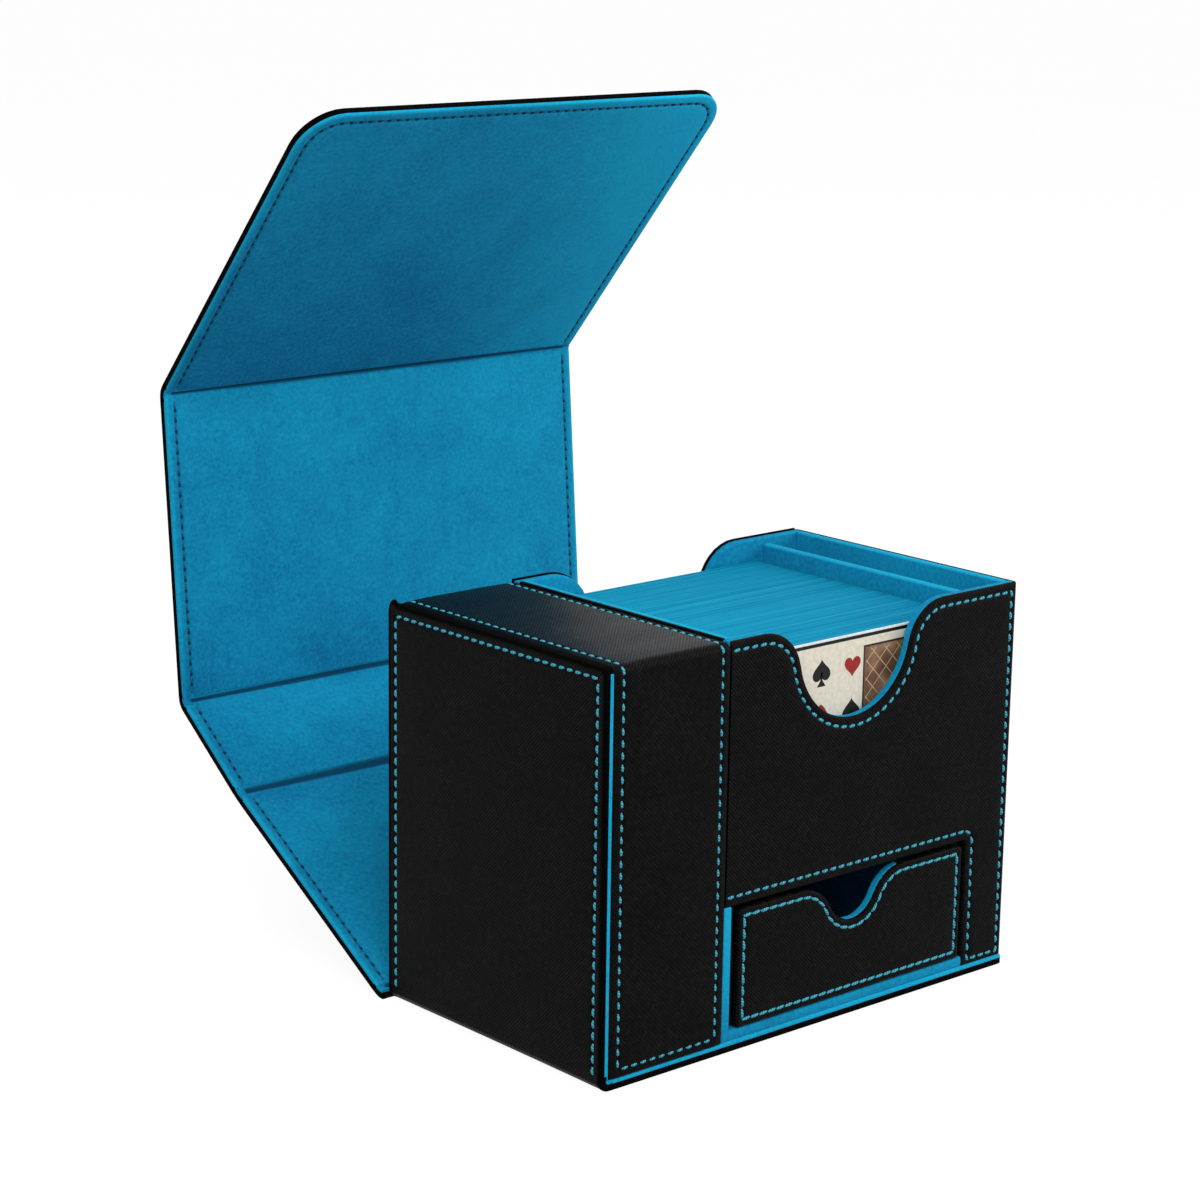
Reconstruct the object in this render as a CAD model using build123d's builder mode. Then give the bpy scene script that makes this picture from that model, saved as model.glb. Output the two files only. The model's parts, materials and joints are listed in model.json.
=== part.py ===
"""Card box with a side bin, a card well, a drawer and a wrap-around cover.

The box stands on the bottom panel of its cover. The cover's other panels hang from that panel: one
folds up against the open left side of the bin, and four more run up the back, over the top and down
the front. Here the long cover stands open, as it does when the cards are taken out.

Millimetres. X runs along the front, Y to the back, Z up. The origin is on the table, under the
middle of the box.
"""

import os
from math import atan2, cos, degrees, radians, sin, sqrt

from build123d import *

os.makedirs("parts", exist_ok=True)

# ---------------------------------------------------------------- driving dimensions

# the closed box, without the long cover
box_width = 160.0
box_depth = 92.0
box_height = 117.0

# skins and boards
leather_thickness = 0.9
cover_board_thickness = 1.4
cover_lining_thickness = 0.7
box_board_thickness = 2.0
box_lining_thickness = 0.5
base_board_thickness = 2.4

# cover: each panel turns on the round fold at the end of the panel before it
fold_clearance = 0.3
fold_web_thickness = 0.7
cover_board_inset = 3.0
cover_corner_radius = 13.0
# the long cover is as wide as the box and sits a little to the left, over the side cover
cover_shift = -2.2
top_clearance = 1.3
front_foot_gap = 3.6
back_upper_length = 36.7
# how far each panel turns from the panel before it, while the cover stands open
base_fold_angle = 31.3
back_fold_angle = 6.0
top_fold_angle = 48.2
front_fold_angle = 45.0

# side bin
bin_width = 41.4
bin_edge_radius = 2.5

# card well and slot
front_step = 0.6
seam_width = 0.6
slot_width = 11.3
divider_board_thickness = 1.8
partition_board_thickness = 1.8
partition_top_gap = 2.0
shelf_height = 42.0

# thumb notches in the front and back walls of the card well
notch_shift = -1.7
notch_radius = 22.0
back_notch_radius = 24.3
notch_depth = 29.0
notch_lip_radius = 14.0

# drawer
window_side_margin = 0.5
drawer_side_gap = 2.3
drawer_window_gap = 1.3
drawer_running_gap = 0.3
drawer_front_proud = 0.4
drawer_body_inset = 0.5
drawer_side_height = 30.8
drawer_back_gap = 0.6
finger_notch_radius = 10.0
finger_notch_depth = 12.7
finger_notch_lip_radius = 13.0

# magnets
magnet_radius = 5.0
magnet_pocket_clearance = 0.1
magnet_edge_distance = 13.0
bin_magnet_x = 20.6
column_magnet_x = 11.5
bar_magnet_length = 20.0
bar_magnet_width = 3.0
bar_magnet_spread = 40.0

# cards in their sleeves, standing on their long side: the well holds as many as its depth allows
sleeve_side_play = 1.8
sleeve_height = 66.0
card_pitch = 0.83
card_front_gap = 0.5
card_back_gap = 0.6
card_height_play = 0.35
sleeve_corner_radius = 2.5

# ---------------------------------------------------------------- derived sizes

cover_thickness = leather_thickness + cover_board_thickness + cover_lining_thickness
fold_radius = cover_thickness / 2
panel_start = fold_radius + fold_clearance
# height in the panel's own frame at which the leather's edge meets the lining's edge
edge_joint = -fold_radius + leather_thickness + cover_board_thickness / 2
board_bottom = -fold_radius + leather_thickness

half_width = box_width / 2
half_depth = box_depth / 2
cover_left = cover_shift - half_width
back_axis_y = half_depth + panel_start
side_axis_x = -half_width + fold_radius
box_left = side_axis_x + panel_start

base_top = cover_thickness + base_board_thickness + box_lining_thickness
back_lower_length = box_height + top_clearance - back_upper_length
top_length = box_depth + 2 * panel_start
front_length = box_height + top_clearance + fold_radius - front_foot_gap
side_length = box_height - fold_radius

front_plane = -half_depth + front_step
front_board_y = front_plane + leather_thickness
front_lining_y = front_board_y + box_board_thickness
well_front_y = front_lining_y + box_lining_thickness
back_board_y = half_depth - leather_thickness
back_lining_y = back_board_y - box_board_thickness
well_back_y = back_lining_y - box_lining_thickness

bin_right = box_left + bin_width
bin_top_board_z = box_height - leather_thickness - box_board_thickness
divider_board_x = bin_right + leather_thickness
divider_right = divider_board_x + divider_board_thickness + box_lining_thickness
right_board_x = half_width - leather_thickness
right_lining_x = right_board_x - box_board_thickness
slot_right = right_lining_x - box_lining_thickness
partition_right = slot_right - slot_width
well_right = partition_right - partition_board_thickness - 2 * box_lining_thickness
well_width = well_right - divider_right
well_centre = (divider_right + well_right) / 2
board_top = box_height - box_lining_thickness

shelf_top = shelf_height + box_board_thickness + box_lining_thickness
window_right = well_right - window_side_margin

drawer_bottom = base_top + drawer_running_gap
drawer_top = shelf_height - drawer_window_gap
drawer_front_y = front_plane - drawer_front_proud
drawer_board_y = drawer_front_y + leather_thickness
drawer_lining_y = drawer_board_y + box_board_thickness
drawer_inner_y = drawer_lining_y + box_lining_thickness
drawer_back_y = well_back_y - drawer_back_gap
drawer_front_width = well_width - 2 * drawer_side_gap
drawer_half_width = drawer_front_width / 2 - drawer_body_inset
drawer_floor_top = drawer_bottom + box_board_thickness

sleeve_length = well_width - 2 * sleeve_side_play
deck_front_y = well_front_y + card_front_gap
card_count = int((well_back_y - card_back_gap - deck_front_y) / card_pitch)
deck_depth = card_count * card_pitch


# ---------------------------------------------------------------- shared forms

def block(x_range, y_range, z_range, mode=Mode.ADD):
    """A box between two values along each axis, made in the part that is being built."""
    size = [high - low for low, high in (x_range, y_range, z_range)]
    centre = tuple((low + high) / 2 for low, high in (x_range, y_range, z_range))
    with Locations(centre):
        Box(*size, mode=mode)


def finish(builder, label):
    """Name a finished piece and write it."""
    builder.part.label = label
    export_step(builder.part, f"parts/{label}.step")


def lip_centre_offset(radius, lip_radius, depth):
    """How far a notch's rounded lip has its centre from the notch's middle."""
    drop = depth - radius - lip_radius
    return sqrt((radius + lip_radius) ** 2 - drop ** 2)


def notched_wall(x_range, z_range, notch_x, radius, depth, lip_radius, wrap):
    """Outline of a wall with a round notch in its top edge, drawn in the sketch's own X and Y.

    wrap draws the whole of the top edge that much further in, where a lining is turned over it, so
    that both outlines stay parallel.
    """
    (x_low, x_high), (z_low, z_high) = x_range, z_range
    offset_x = lip_centre_offset(radius, lip_radius, depth)
    bowl_z = z_high - depth + radius
    lip_z = z_high - lip_radius
    tilt = degrees(atan2(lip_z - bowl_z, offset_x))
    lip_turn = 90 + tilt
    with BuildSketch(Plane.XY) as wall:
        with BuildLine():
            left_lip = CenterArc((notch_x - offset_x, lip_z), lip_radius - wrap, 90, -lip_turn)
            CenterArc((notch_x, bowl_z), radius + wrap, 180 - tilt, 180 + 2 * tilt)
            right_lip = CenterArc(
                (notch_x + offset_x, lip_z), lip_radius - wrap, 180 + tilt, -lip_turn
            )
            Polyline(
                right_lip @ 1,
                (x_high, z_high - wrap),
                (x_high, z_low),
                (x_low, z_low),
                (x_low, z_high - wrap),
                left_lip @ 0,
            )
        make_face()
    return wall.sketch


def wall_plane(y):
    """A plane facing the front, whose sketch X and Y run along the box's X and Z."""
    return Plane(origin=(0, y, 0), x_dir=(1, 0, 0), z_dir=(0, -1, 0))


# ---------------------------------------------------------------- cover panels

def panel_outline(width, start, end, corner_radius, inset=0):
    """A panel's outline in its own frame: X across it, Y from its fold to its far edge."""
    with BuildSketch(Plane.XY) as outline:
        with Locations((0, (start + end) / 2)):
            Rectangle(width, end - start)
        if corner_radius:
            far_corners = outline.vertices().group_by(Axis.Y)[-1]
            fillet(far_corners, corner_radius)
        if inset:
            offset(amount=-inset, mode=Mode.REPLACE)
    return outline.sketch


def round_folds(beads):
    """Make round folds in the part that is being built, in a panel's own frame.

    Each is (point, direction, length, web), with web as the flat strip that joins the fold to its
    panel: ((x range), (y range)).
    """
    for point, direction, length, (web_x, web_y) in beads:
        block(web_x, web_y, (edge_joint - fold_web_thickness, edge_joint))
        with Locations(Plane(origin=point, z_dir=direction)):
            Cylinder(fold_radius, length, align=(Align.CENTER, Align.CENTER, Align.MIN))


def cover_panel(name, plane, width, start, end, beads=(), corner_radius=0, pockets=()):
    """The leather, board and lining of one cover panel.

    plane has its origin on the panel's fold, Y towards the far edge and Z towards the blue side.
    beads are the round folds that its leather carries for the next panel.
    pockets are (x, y, shape) for the magnets, where shape is "disc" or "bar".
    """
    outline = panel_outline(width, start, end, corner_radius)
    board_outline = panel_outline(width, start, end, corner_radius, cover_board_inset)

    with BuildPart() as leather:
        with BuildSketch(Plane.XY.offset(-fold_radius)):
            add(outline)
        extrude(amount=edge_joint + fold_radius)
        with BuildSketch(Plane.XY.offset(board_bottom)):
            add(board_outline)
        extrude(amount=edge_joint - board_bottom, mode=Mode.SUBTRACT)
        round_folds(beads)
    leather.part = plane * leather.part
    finish(leather, f"{name}_leather")

    with BuildPart() as board:
        with BuildSketch(Plane.XY.offset(board_bottom)):
            add(board_outline)
            for x, y, shape in pockets:
                with Locations((x, y)):
                    magnet_shape(shape, magnet_pocket_clearance, Mode.SUBTRACT)
        extrude(amount=cover_board_thickness)
    board.part = plane * board.part
    finish(board, f"{name}_board")

    with BuildPart() as lining:
        with BuildSketch(Plane.XY.offset(edge_joint)):
            add(outline)
        extrude(amount=fold_radius - edge_joint)
        with BuildSketch(Plane.XY.offset(edge_joint)):
            add(board_outline)
        extrude(amount=board_bottom + cover_board_thickness - edge_joint, mode=Mode.SUBTRACT)
    lining.part = plane * lining.part
    finish(lining, f"{name}_lining")


def magnet_shape(shape, clearance, mode=Mode.ADD):
    """A disc or a bar magnet's outline, made larger by a clearance all round."""
    if shape == "disc":
        Circle(magnet_radius + clearance, mode=mode)
    else:
        Rectangle(bar_magnet_length + 2 * clearance, bar_magnet_width + 2 * clearance, mode=mode)


def cover_magnets(name, plane, pockets):
    """The magnets of one panel, as thick as its board."""
    with BuildPart() as magnets:
        with BuildSketch(Plane.XY.offset(board_bottom)):
            for x, y, shape in pockets:
                with Locations((x, y)):
                    magnet_shape(shape, 0)
        extrude(amount=cover_board_thickness)
    magnets.part = plane * magnets.part
    finish(magnets, name)


def far_bead(length):
    """The fold at a panel's far edge, for the next panel."""
    web = (-half_width, half_width), (length - panel_start, length)
    return (-half_width, length, 0), (1, 0, 0), box_width, web


def panel_plane(origin_y, origin_z, angle):
    """A long cover panel's frame, with the panel rising at an angle from the table."""
    turn = radians(angle)
    origin = cover_shift, origin_y, origin_z
    return Plane(origin=origin, x_dir=(1, 0, 0), z_dir=(0, -sin(turn), cos(turn)))


# bottom panel: lies under the box. Its two folds are a piece of their own, so that it stands flat
bottom_width = half_width - box_left
bottom_plane = Plane(origin=((half_width + box_left) / 2, 0, fold_radius))
side_bead_x = side_axis_x - bottom_plane.origin.X
back_bead_x = cover_left - bottom_plane.origin.X
bottom_beads = [
    (
        (back_bead_x, back_axis_y, 0),
        (1, 0, 0),
        box_width,
        ((-bottom_width / 2, back_bead_x + box_width), (half_depth, back_axis_y)),
    ),
    (
        (side_bead_x, -half_depth, 0),
        (0, 1, 0),
        box_depth,
        ((side_bead_x, -bottom_width / 2), (-half_depth, half_depth - fold_clearance)),
    ),
]
cover_panel("bottom", bottom_plane, bottom_width, -half_depth, half_depth)

with BuildPart() as bottom_folds:
    round_folds(bottom_beads)
bottom_folds.part = bottom_plane * bottom_folds.part
finish(bottom_folds, "bottom_folds")

# side cover: stands up from the side fold, blue side towards the bin
side_plane = Plane(origin=(side_axis_x, 0, fold_radius), x_dir=(0, 1, 0), z_dir=(1, 0, 0))
side_magnet_y = side_length - cover_board_inset - bar_magnet_width
side_pockets = [(x * bar_magnet_spread / 2, side_magnet_y, "bar") for x in (-1, 1)]
cover_panel("side_cover", side_plane, box_depth, panel_start, side_length, pockets=side_pockets)
cover_magnets("side_cover_magnets", side_plane, side_pockets)

# long cover: lower back, upper back, top and front panels, one fold after the other
front_magnet_y = front_length - magnet_edge_distance
front_pockets = [
    (box_left + bin_magnet_x - cover_shift, front_magnet_y, "disc"),
    (half_width - column_magnet_x - cover_shift, front_magnet_y, "disc"),
]
long_cover = [
    ("back_lower", back_lower_length, base_fold_angle, 0, ()),
    ("back_upper", back_upper_length, back_fold_angle, 0, ()),
    ("top_panel", top_length, top_fold_angle, 0, ()),
    ("front_panel", front_length, front_fold_angle, cover_corner_radius, front_pockets),
]
fold_y, fold_z, rise = back_axis_y, fold_radius, 0.0
for name, length, fold_angle, corner_radius, pockets in long_cover:
    rise += fold_angle
    plane = panel_plane(fold_y, fold_z, rise)
    is_last = name == long_cover[-1][0]
    end = length if is_last else length - panel_start
    beads = [] if is_last else [far_bead(length)]
    cover_panel(name, plane, box_width, panel_start, end, beads, corner_radius, pockets)
    if pockets:
        cover_magnets(f"{name}_magnets", plane, pockets)
    print(f"{name}: fold at Y {fold_y:.3f}, Z {fold_z:.3f}, rises at {rise:.2f} degrees")
    fold_y += length * cos(radians(rise))
    fold_z += length * sin(radians(rise))

# ---------------------------------------------------------------- base of the box

with BuildPart() as base_board:
    block(
        (box_left, right_board_x),
        (front_board_y, back_board_y),
        (cover_thickness, cover_thickness + base_board_thickness),
    )
finish(base_board, "base_board")

with BuildPart() as base_lining:
    block(
        (box_left, right_board_x),
        (front_board_y, back_board_y),
        (base_top - box_lining_thickness, base_top),
    )
    # turned down over the board's front edge, where the drawer window shows it
    block((bin_right, window_right), (front_plane, front_board_y), (cover_thickness, base_top))
finish(base_lining, "base_lining")

# ---------------------------------------------------------------- side bin

bin_front_board_y = -back_board_y
bin_front_lining_y = -back_lining_y
bin_front_y = -well_back_y
bin_right_board_x = bin_right - box_board_thickness
keeper_z = front_foot_gap + magnet_edge_distance
keeper_x_bin = box_left + bin_magnet_x
keeper_x_column = half_width - column_magnet_x

with BuildPart() as bin_front_board:
    block(
        (box_left, bin_right),
        (bin_front_board_y, bin_front_lining_y),
        (base_top, bin_top_board_z),
    )
    with Locations(wall_plane(bin_front_board_y)):
        with Locations((keeper_x_bin, keeper_z)):
            Hole(magnet_radius + magnet_pocket_clearance)
finish(bin_front_board, "bin_front_board")

with BuildPart() as bin_back_board:
    block((box_left, bin_right), (back_lining_y, back_board_y), (base_top, bin_top_board_z))
finish(bin_back_board, "bin_back_board")

with BuildPart() as bin_top_board:
    block(
        (box_left, bin_right),
        (bin_front_board_y, back_board_y),
        (bin_top_board_z, bin_top_board_z + box_board_thickness),
    )
    long_edges = bin_top_board.edges().filter_by(Axis.X).group_by(Axis.Z)[-1]
    fillet(long_edges, bin_edge_radius - leather_thickness)
    for y in (-bar_magnet_spread / 2, bar_magnet_spread / 2):
        half_pocket = bar_magnet_length / 2 + magnet_pocket_clearance
        block(
            (box_left, box_left + bar_magnet_width + magnet_pocket_clearance),
            (y - half_pocket, y + half_pocket),
            (bin_top_board_z, bin_top_board_z + box_board_thickness),
            Mode.SUBTRACT,
        )
finish(bin_top_board, "bin_top_board")

with BuildPart() as bin_right_board:
    block(
        (bin_right_board_x, bin_right),
        (bin_front_lining_y, back_lining_y),
        (base_top, bin_top_board_z),
    )
finish(bin_right_board, "bin_right_board")

# one strip up the front, over the top and down the back
with BuildPart() as bin_leather:
    with BuildSketch(Plane.YZ.offset(box_left)):
        with BuildLine():
            strip_edge = FilletPolyline(
                (-half_depth, cover_thickness),
                (-half_depth, box_height),
                (half_depth, box_height),
                (half_depth, cover_thickness),
                radius=bin_edge_radius,
            )
            Line(strip_edge @ 1, (back_board_y, cover_thickness))
            strip_inside = FilletPolyline(
                (back_board_y, cover_thickness),
                (back_board_y, box_height - leather_thickness),
                (-back_board_y, box_height - leather_thickness),
                (-back_board_y, cover_thickness),
                radius=bin_edge_radius - leather_thickness,
            )
            Line(strip_inside @ 1, strip_edge @ 0)
        make_face()
    extrude(amount=bin_width)
finish(bin_leather, "bin_leather")

with BuildPart() as bin_lining:
    block(
        (box_left, bin_right_board_x),
        (bin_front_lining_y, back_lining_y),
        (base_top, bin_top_board_z),
    )
    block(
        (box_left, bin_right_board_x - box_lining_thickness),
        (bin_front_y, well_back_y),
        (base_top, bin_top_board_z - box_lining_thickness),
        Mode.SUBTRACT,
    )
finish(bin_lining, "bin_lining")

# ---------------------------------------------------------------- card well

leather_left = bin_right + seam_width
notch_centre = well_centre + notch_shift


def well_wall(x_range, z_low, wrap, centre=notch_centre, radius=notch_radius):
    """The outline of the card well's front or back wall, with its thumb notch."""
    return notched_wall(
        x_range,
        (z_low, box_height),
        centre,
        radius,
        notch_depth,
        notch_lip_radius,
        wrap,
    )


def cut_window(y_range):
    """Cut the drawer window, which is open at the left and at the bottom."""
    block((bin_right, window_right), y_range, (cover_thickness, shelf_height), Mode.SUBTRACT)


with BuildPart() as well_front_leather:
    with BuildSketch(wall_plane(front_board_y)):
        add(well_wall((leather_left, half_width), cover_thickness, 0))
    extrude(amount=leather_thickness)
    cut_window((front_plane, front_board_y))
finish(well_front_leather, "well_front_leather")

with BuildPart() as well_front_board:
    with BuildSketch(wall_plane(front_lining_y)):
        add(well_wall((bin_right, right_board_x), base_top, box_lining_thickness))
    extrude(amount=box_board_thickness)
    cut_window((front_board_y, front_lining_y))
    with Locations(wall_plane(front_board_y)):
        with Locations((keeper_x_column, keeper_z)):
            Hole(magnet_radius + magnet_pocket_clearance)
finish(well_front_board, "well_front_board")

with BuildPart() as well_front_lining:
    with BuildSketch(wall_plane(well_front_y)):
        add(well_wall((bin_right, right_lining_x), base_top, 0))
    extrude(amount=box_lining_thickness)
    # turned over the board's top edge and round the notch
    with BuildSketch(wall_plane(front_lining_y)):
        add(well_wall((bin_right, right_board_x), base_top, 0))
    extrude(amount=box_board_thickness)
    with BuildSketch(wall_plane(front_lining_y)):
        add(well_wall((bin_right, right_board_x), base_top, box_lining_thickness))
    extrude(amount=box_board_thickness, mode=Mode.SUBTRACT)
    cut_window((front_board_y, well_front_y))
finish(well_front_lining, "well_front_lining")

# the back wall's notch is wider, and stands over the middle of the cards
back_notch = well_centre, back_notch_radius

with BuildPart() as well_back_leather:
    with BuildSketch(wall_plane(half_depth)):
        add(well_wall((bin_right, half_width), cover_thickness, 0, *back_notch))
    extrude(amount=leather_thickness)
finish(well_back_leather, "well_back_leather")

with BuildPart() as well_back_board:
    with BuildSketch(wall_plane(back_board_y)):
        add(well_wall((bin_right, right_board_x), base_top, box_lining_thickness, *back_notch))
    extrude(amount=box_board_thickness)
finish(well_back_board, "well_back_board")

with BuildPart() as well_back_lining:
    with BuildSketch(wall_plane(back_lining_y)):
        add(well_wall((bin_right, right_lining_x), base_top, 0, *back_notch))
    extrude(amount=box_lining_thickness)
    with BuildSketch(wall_plane(back_board_y)):
        add(well_wall((bin_right, right_board_x), base_top, 0, *back_notch))
    extrude(amount=box_board_thickness)
    with BuildSketch(wall_plane(back_board_y)):
        add(well_wall((bin_right, right_board_x), base_top, box_lining_thickness, *back_notch))
    extrude(amount=box_board_thickness, mode=Mode.SUBTRACT)
finish(well_back_lining, "well_back_lining")

# left wall: its leather lies against the bin, and below the front wall it reaches forward beside
# the drawer window, where its blue end shows
with BuildPart() as well_left_leather:
    block((bin_right, divider_board_x), (well_front_y, well_back_y), (base_top, box_height))
finish(well_left_leather, "well_left_leather")

with BuildPart() as well_left_board:
    board_x = divider_board_x, divider_right - box_lining_thickness
    block(board_x, (well_front_y, well_back_y), (base_top, board_top))
    block(
        board_x,
        (front_plane + box_lining_thickness, well_front_y),
        (base_top, shelf_height - box_lining_thickness),
    )
finish(well_left_board, "well_left_board")

with BuildPart() as well_left_lining:
    block((divider_board_x, divider_right), (well_front_y, well_back_y), (base_top, box_height))
    block((bin_right, divider_right), (front_plane, well_front_y), (base_top, shelf_height))
    add(well_left_board.part, mode=Mode.SUBTRACT)
finish(well_left_lining, "well_left_lining")

with BuildPart() as partition_board:
    block(
        (well_right + box_lining_thickness, partition_right - box_lining_thickness),
        (well_front_y, well_back_y),
        (base_top, board_top - partition_top_gap),
    )
finish(partition_board, "partition_board")

with BuildPart() as partition_lining:
    block(
        (well_right, partition_right),
        (well_front_y, well_back_y),
        (base_top, box_height - partition_top_gap),
    )
    add(partition_board.part, mode=Mode.SUBTRACT)
finish(partition_lining, "partition_lining")

with BuildPart() as well_right_board:
    block((right_lining_x, right_board_x), (front_lining_y, back_lining_y), (base_top, board_top))
finish(well_right_board, "well_right_board")

with BuildPart() as well_right_lining:
    block((slot_right, right_lining_x), (well_front_y, well_back_y), (base_top, box_height))
    block(
        (right_lining_x, right_board_x),
        (front_lining_y, back_lining_y),
        (board_top, box_height),
    )
finish(well_right_lining, "well_right_lining")

with BuildPart() as well_right_leather:
    block(
        (right_board_x, half_width),
        (front_board_y, back_board_y),
        (cover_thickness, box_height),
    )
finish(well_right_leather, "well_right_leather")

with BuildPart() as shelf_board:
    block(
        (divider_right, well_right),
        (well_front_y, well_back_y),
        (shelf_height, shelf_height + box_board_thickness),
    )
finish(shelf_board, "shelf_board")

with BuildPart() as shelf_lining:
    block(
        (divider_right, well_right),
        (well_front_y, well_back_y),
        (shelf_height + box_board_thickness, shelf_top),
    )
finish(shelf_lining, "shelf_lining")

# keepers: discs behind the front leather, bars in the left edge of the bin's top
with BuildPart() as front_keepers:
    for x, y in ((keeper_x_bin, bin_front_lining_y), (keeper_x_column, front_lining_y)):
        with BuildSketch(wall_plane(y)):
            with Locations((x, keeper_z)):
                Circle(magnet_radius)
        extrude(amount=box_board_thickness)
finish(front_keepers, "front_keepers")

with BuildPart() as side_keepers:
    for y in (-bar_magnet_spread / 2, bar_magnet_spread / 2):
        block(
            (box_left, box_left + bar_magnet_width),
            (y - bar_magnet_length / 2, y + bar_magnet_length / 2),
            (bin_top_board_z, bin_top_board_z + box_board_thickness),
        )
finish(side_keepers, "side_keepers")

# ---------------------------------------------------------------- drawer

drawer_front_x = (
    well_centre - drawer_front_width / 2,
    well_centre + drawer_front_width / 2,
)
drawer_body_x = well_centre - drawer_half_width, well_centre + drawer_half_width


def drawer_wall(wrap):
    """The drawer front's outline, with its finger notch."""
    return notched_wall(
        drawer_front_x,
        (drawer_bottom, drawer_top),
        well_centre,
        finger_notch_radius,
        finger_notch_depth,
        finger_notch_lip_radius,
        wrap,
    )


with BuildPart() as drawer_front_leather:
    with BuildSketch(wall_plane(drawer_board_y)):
        add(drawer_wall(0))
    extrude(amount=leather_thickness)
finish(drawer_front_leather, "drawer_front_leather")

with BuildPart() as drawer_front_board:
    with BuildSketch(wall_plane(drawer_lining_y)):
        add(drawer_wall(box_lining_thickness))
    extrude(amount=box_board_thickness)
finish(drawer_front_board, "drawer_front_board")

with BuildPart() as drawer_front_lining:
    with BuildSketch(wall_plane(drawer_inner_y)):
        add(drawer_wall(0))
    extrude(amount=box_board_thickness + box_lining_thickness)
    add(drawer_front_board.part, mode=Mode.SUBTRACT)
finish(drawer_front_lining, "drawer_front_lining")

with BuildPart() as drawer_floor:
    block(drawer_body_x, (drawer_inner_y, drawer_back_y), (drawer_bottom, drawer_floor_top))
finish(drawer_floor, "drawer_floor")

drawer_side_z = drawer_floor_top, drawer_bottom + drawer_side_height
drawer_back_board_y = drawer_back_y - box_board_thickness
for side, outer_x in (("left", drawer_body_x[0]), ("right", drawer_body_x[1])):
    inner_x = outer_x + box_board_thickness * (1 if side == "left" else -1)
    with BuildPart() as drawer_side:
        block(sorted((outer_x, inner_x)), (drawer_inner_y, drawer_back_y), drawer_side_z)
    finish(drawer_side, f"drawer_{side}_side")

drawer_inside_x = drawer_body_x[0] + box_board_thickness, drawer_body_x[1] - box_board_thickness
with BuildPart() as drawer_back:
    block(drawer_inside_x, (drawer_back_board_y, drawer_back_y), drawer_side_z)
finish(drawer_back, "drawer_back")

with BuildPart() as drawer_lining:
    block(drawer_inside_x, (drawer_inner_y, drawer_back_board_y), drawer_side_z)
    block(
        (drawer_inside_x[0] + box_lining_thickness, drawer_inside_x[1] - box_lining_thickness),
        (drawer_inner_y, drawer_back_board_y - box_lining_thickness),
        (drawer_floor_top + box_lining_thickness, drawer_side_z[1]),
        Mode.SUBTRACT,
    )
finish(drawer_lining, "drawer_lining")

# ---------------------------------------------------------------- cards

def sleeve_top(number):
    """How high a sleeve reaches: sleeves sit a little unevenly, in a pattern that doesn't repeat."""
    return shelf_top + sleeve_height - card_height_play * (0.5 + 0.5 * sin(2.4 * number))


def sleeve_outline():
    """A sleeve's outline, seen from the front."""
    with Locations((well_centre, shelf_top + sleeve_height / 2)):
        RectangleRounded(sleeve_length, sleeve_height, sleeve_corner_radius)


with BuildPart() as front_card:
    with BuildSketch(wall_plane(deck_front_y + card_pitch)):
        sleeve_outline()
    extrude(amount=card_pitch)
finish(front_card, "front_card")

# the other cards, side by side: a step for each along the top
deck_steps = []
for number in range(1, card_count):
    sleeve_front = deck_front_y + number * card_pitch
    deck_steps.append((sleeve_front, sleeve_top(number)))
    deck_steps.append((sleeve_front + card_pitch, sleeve_top(number)))

with BuildPart() as card_deck:
    with BuildSketch(Plane.YZ.offset(well_centre)):
        with BuildLine():
            Polyline(
                *deck_steps,
                (deck_front_y + deck_depth, shelf_top),
                (deck_front_y + card_pitch, shelf_top),
                close=True,
            )
        make_face()
    extrude(amount=sleeve_length / 2, both=True)
    with BuildSketch(wall_plane(deck_front_y + deck_depth)):
        sleeve_outline()
    extrude(amount=deck_depth, mode=Mode.INTERSECT)
finish(card_deck, "card_deck")
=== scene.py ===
# %% [markdown]
# # A card box with a drawer, a side bin and a wrap-around cover
# The object is bookbinder's work: stiff boards covered in black synthetic leather outside and blue
# suede inside, sewn along every edge with blue thread. The box stands on the bottom panel of its own
# cover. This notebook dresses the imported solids: it keeps their places and sizes, and makes the soft
# skins, the seams, the folds and the cards as surfaces worked out with numpy.

import json
from math import cos, pi, radians, sin

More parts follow.
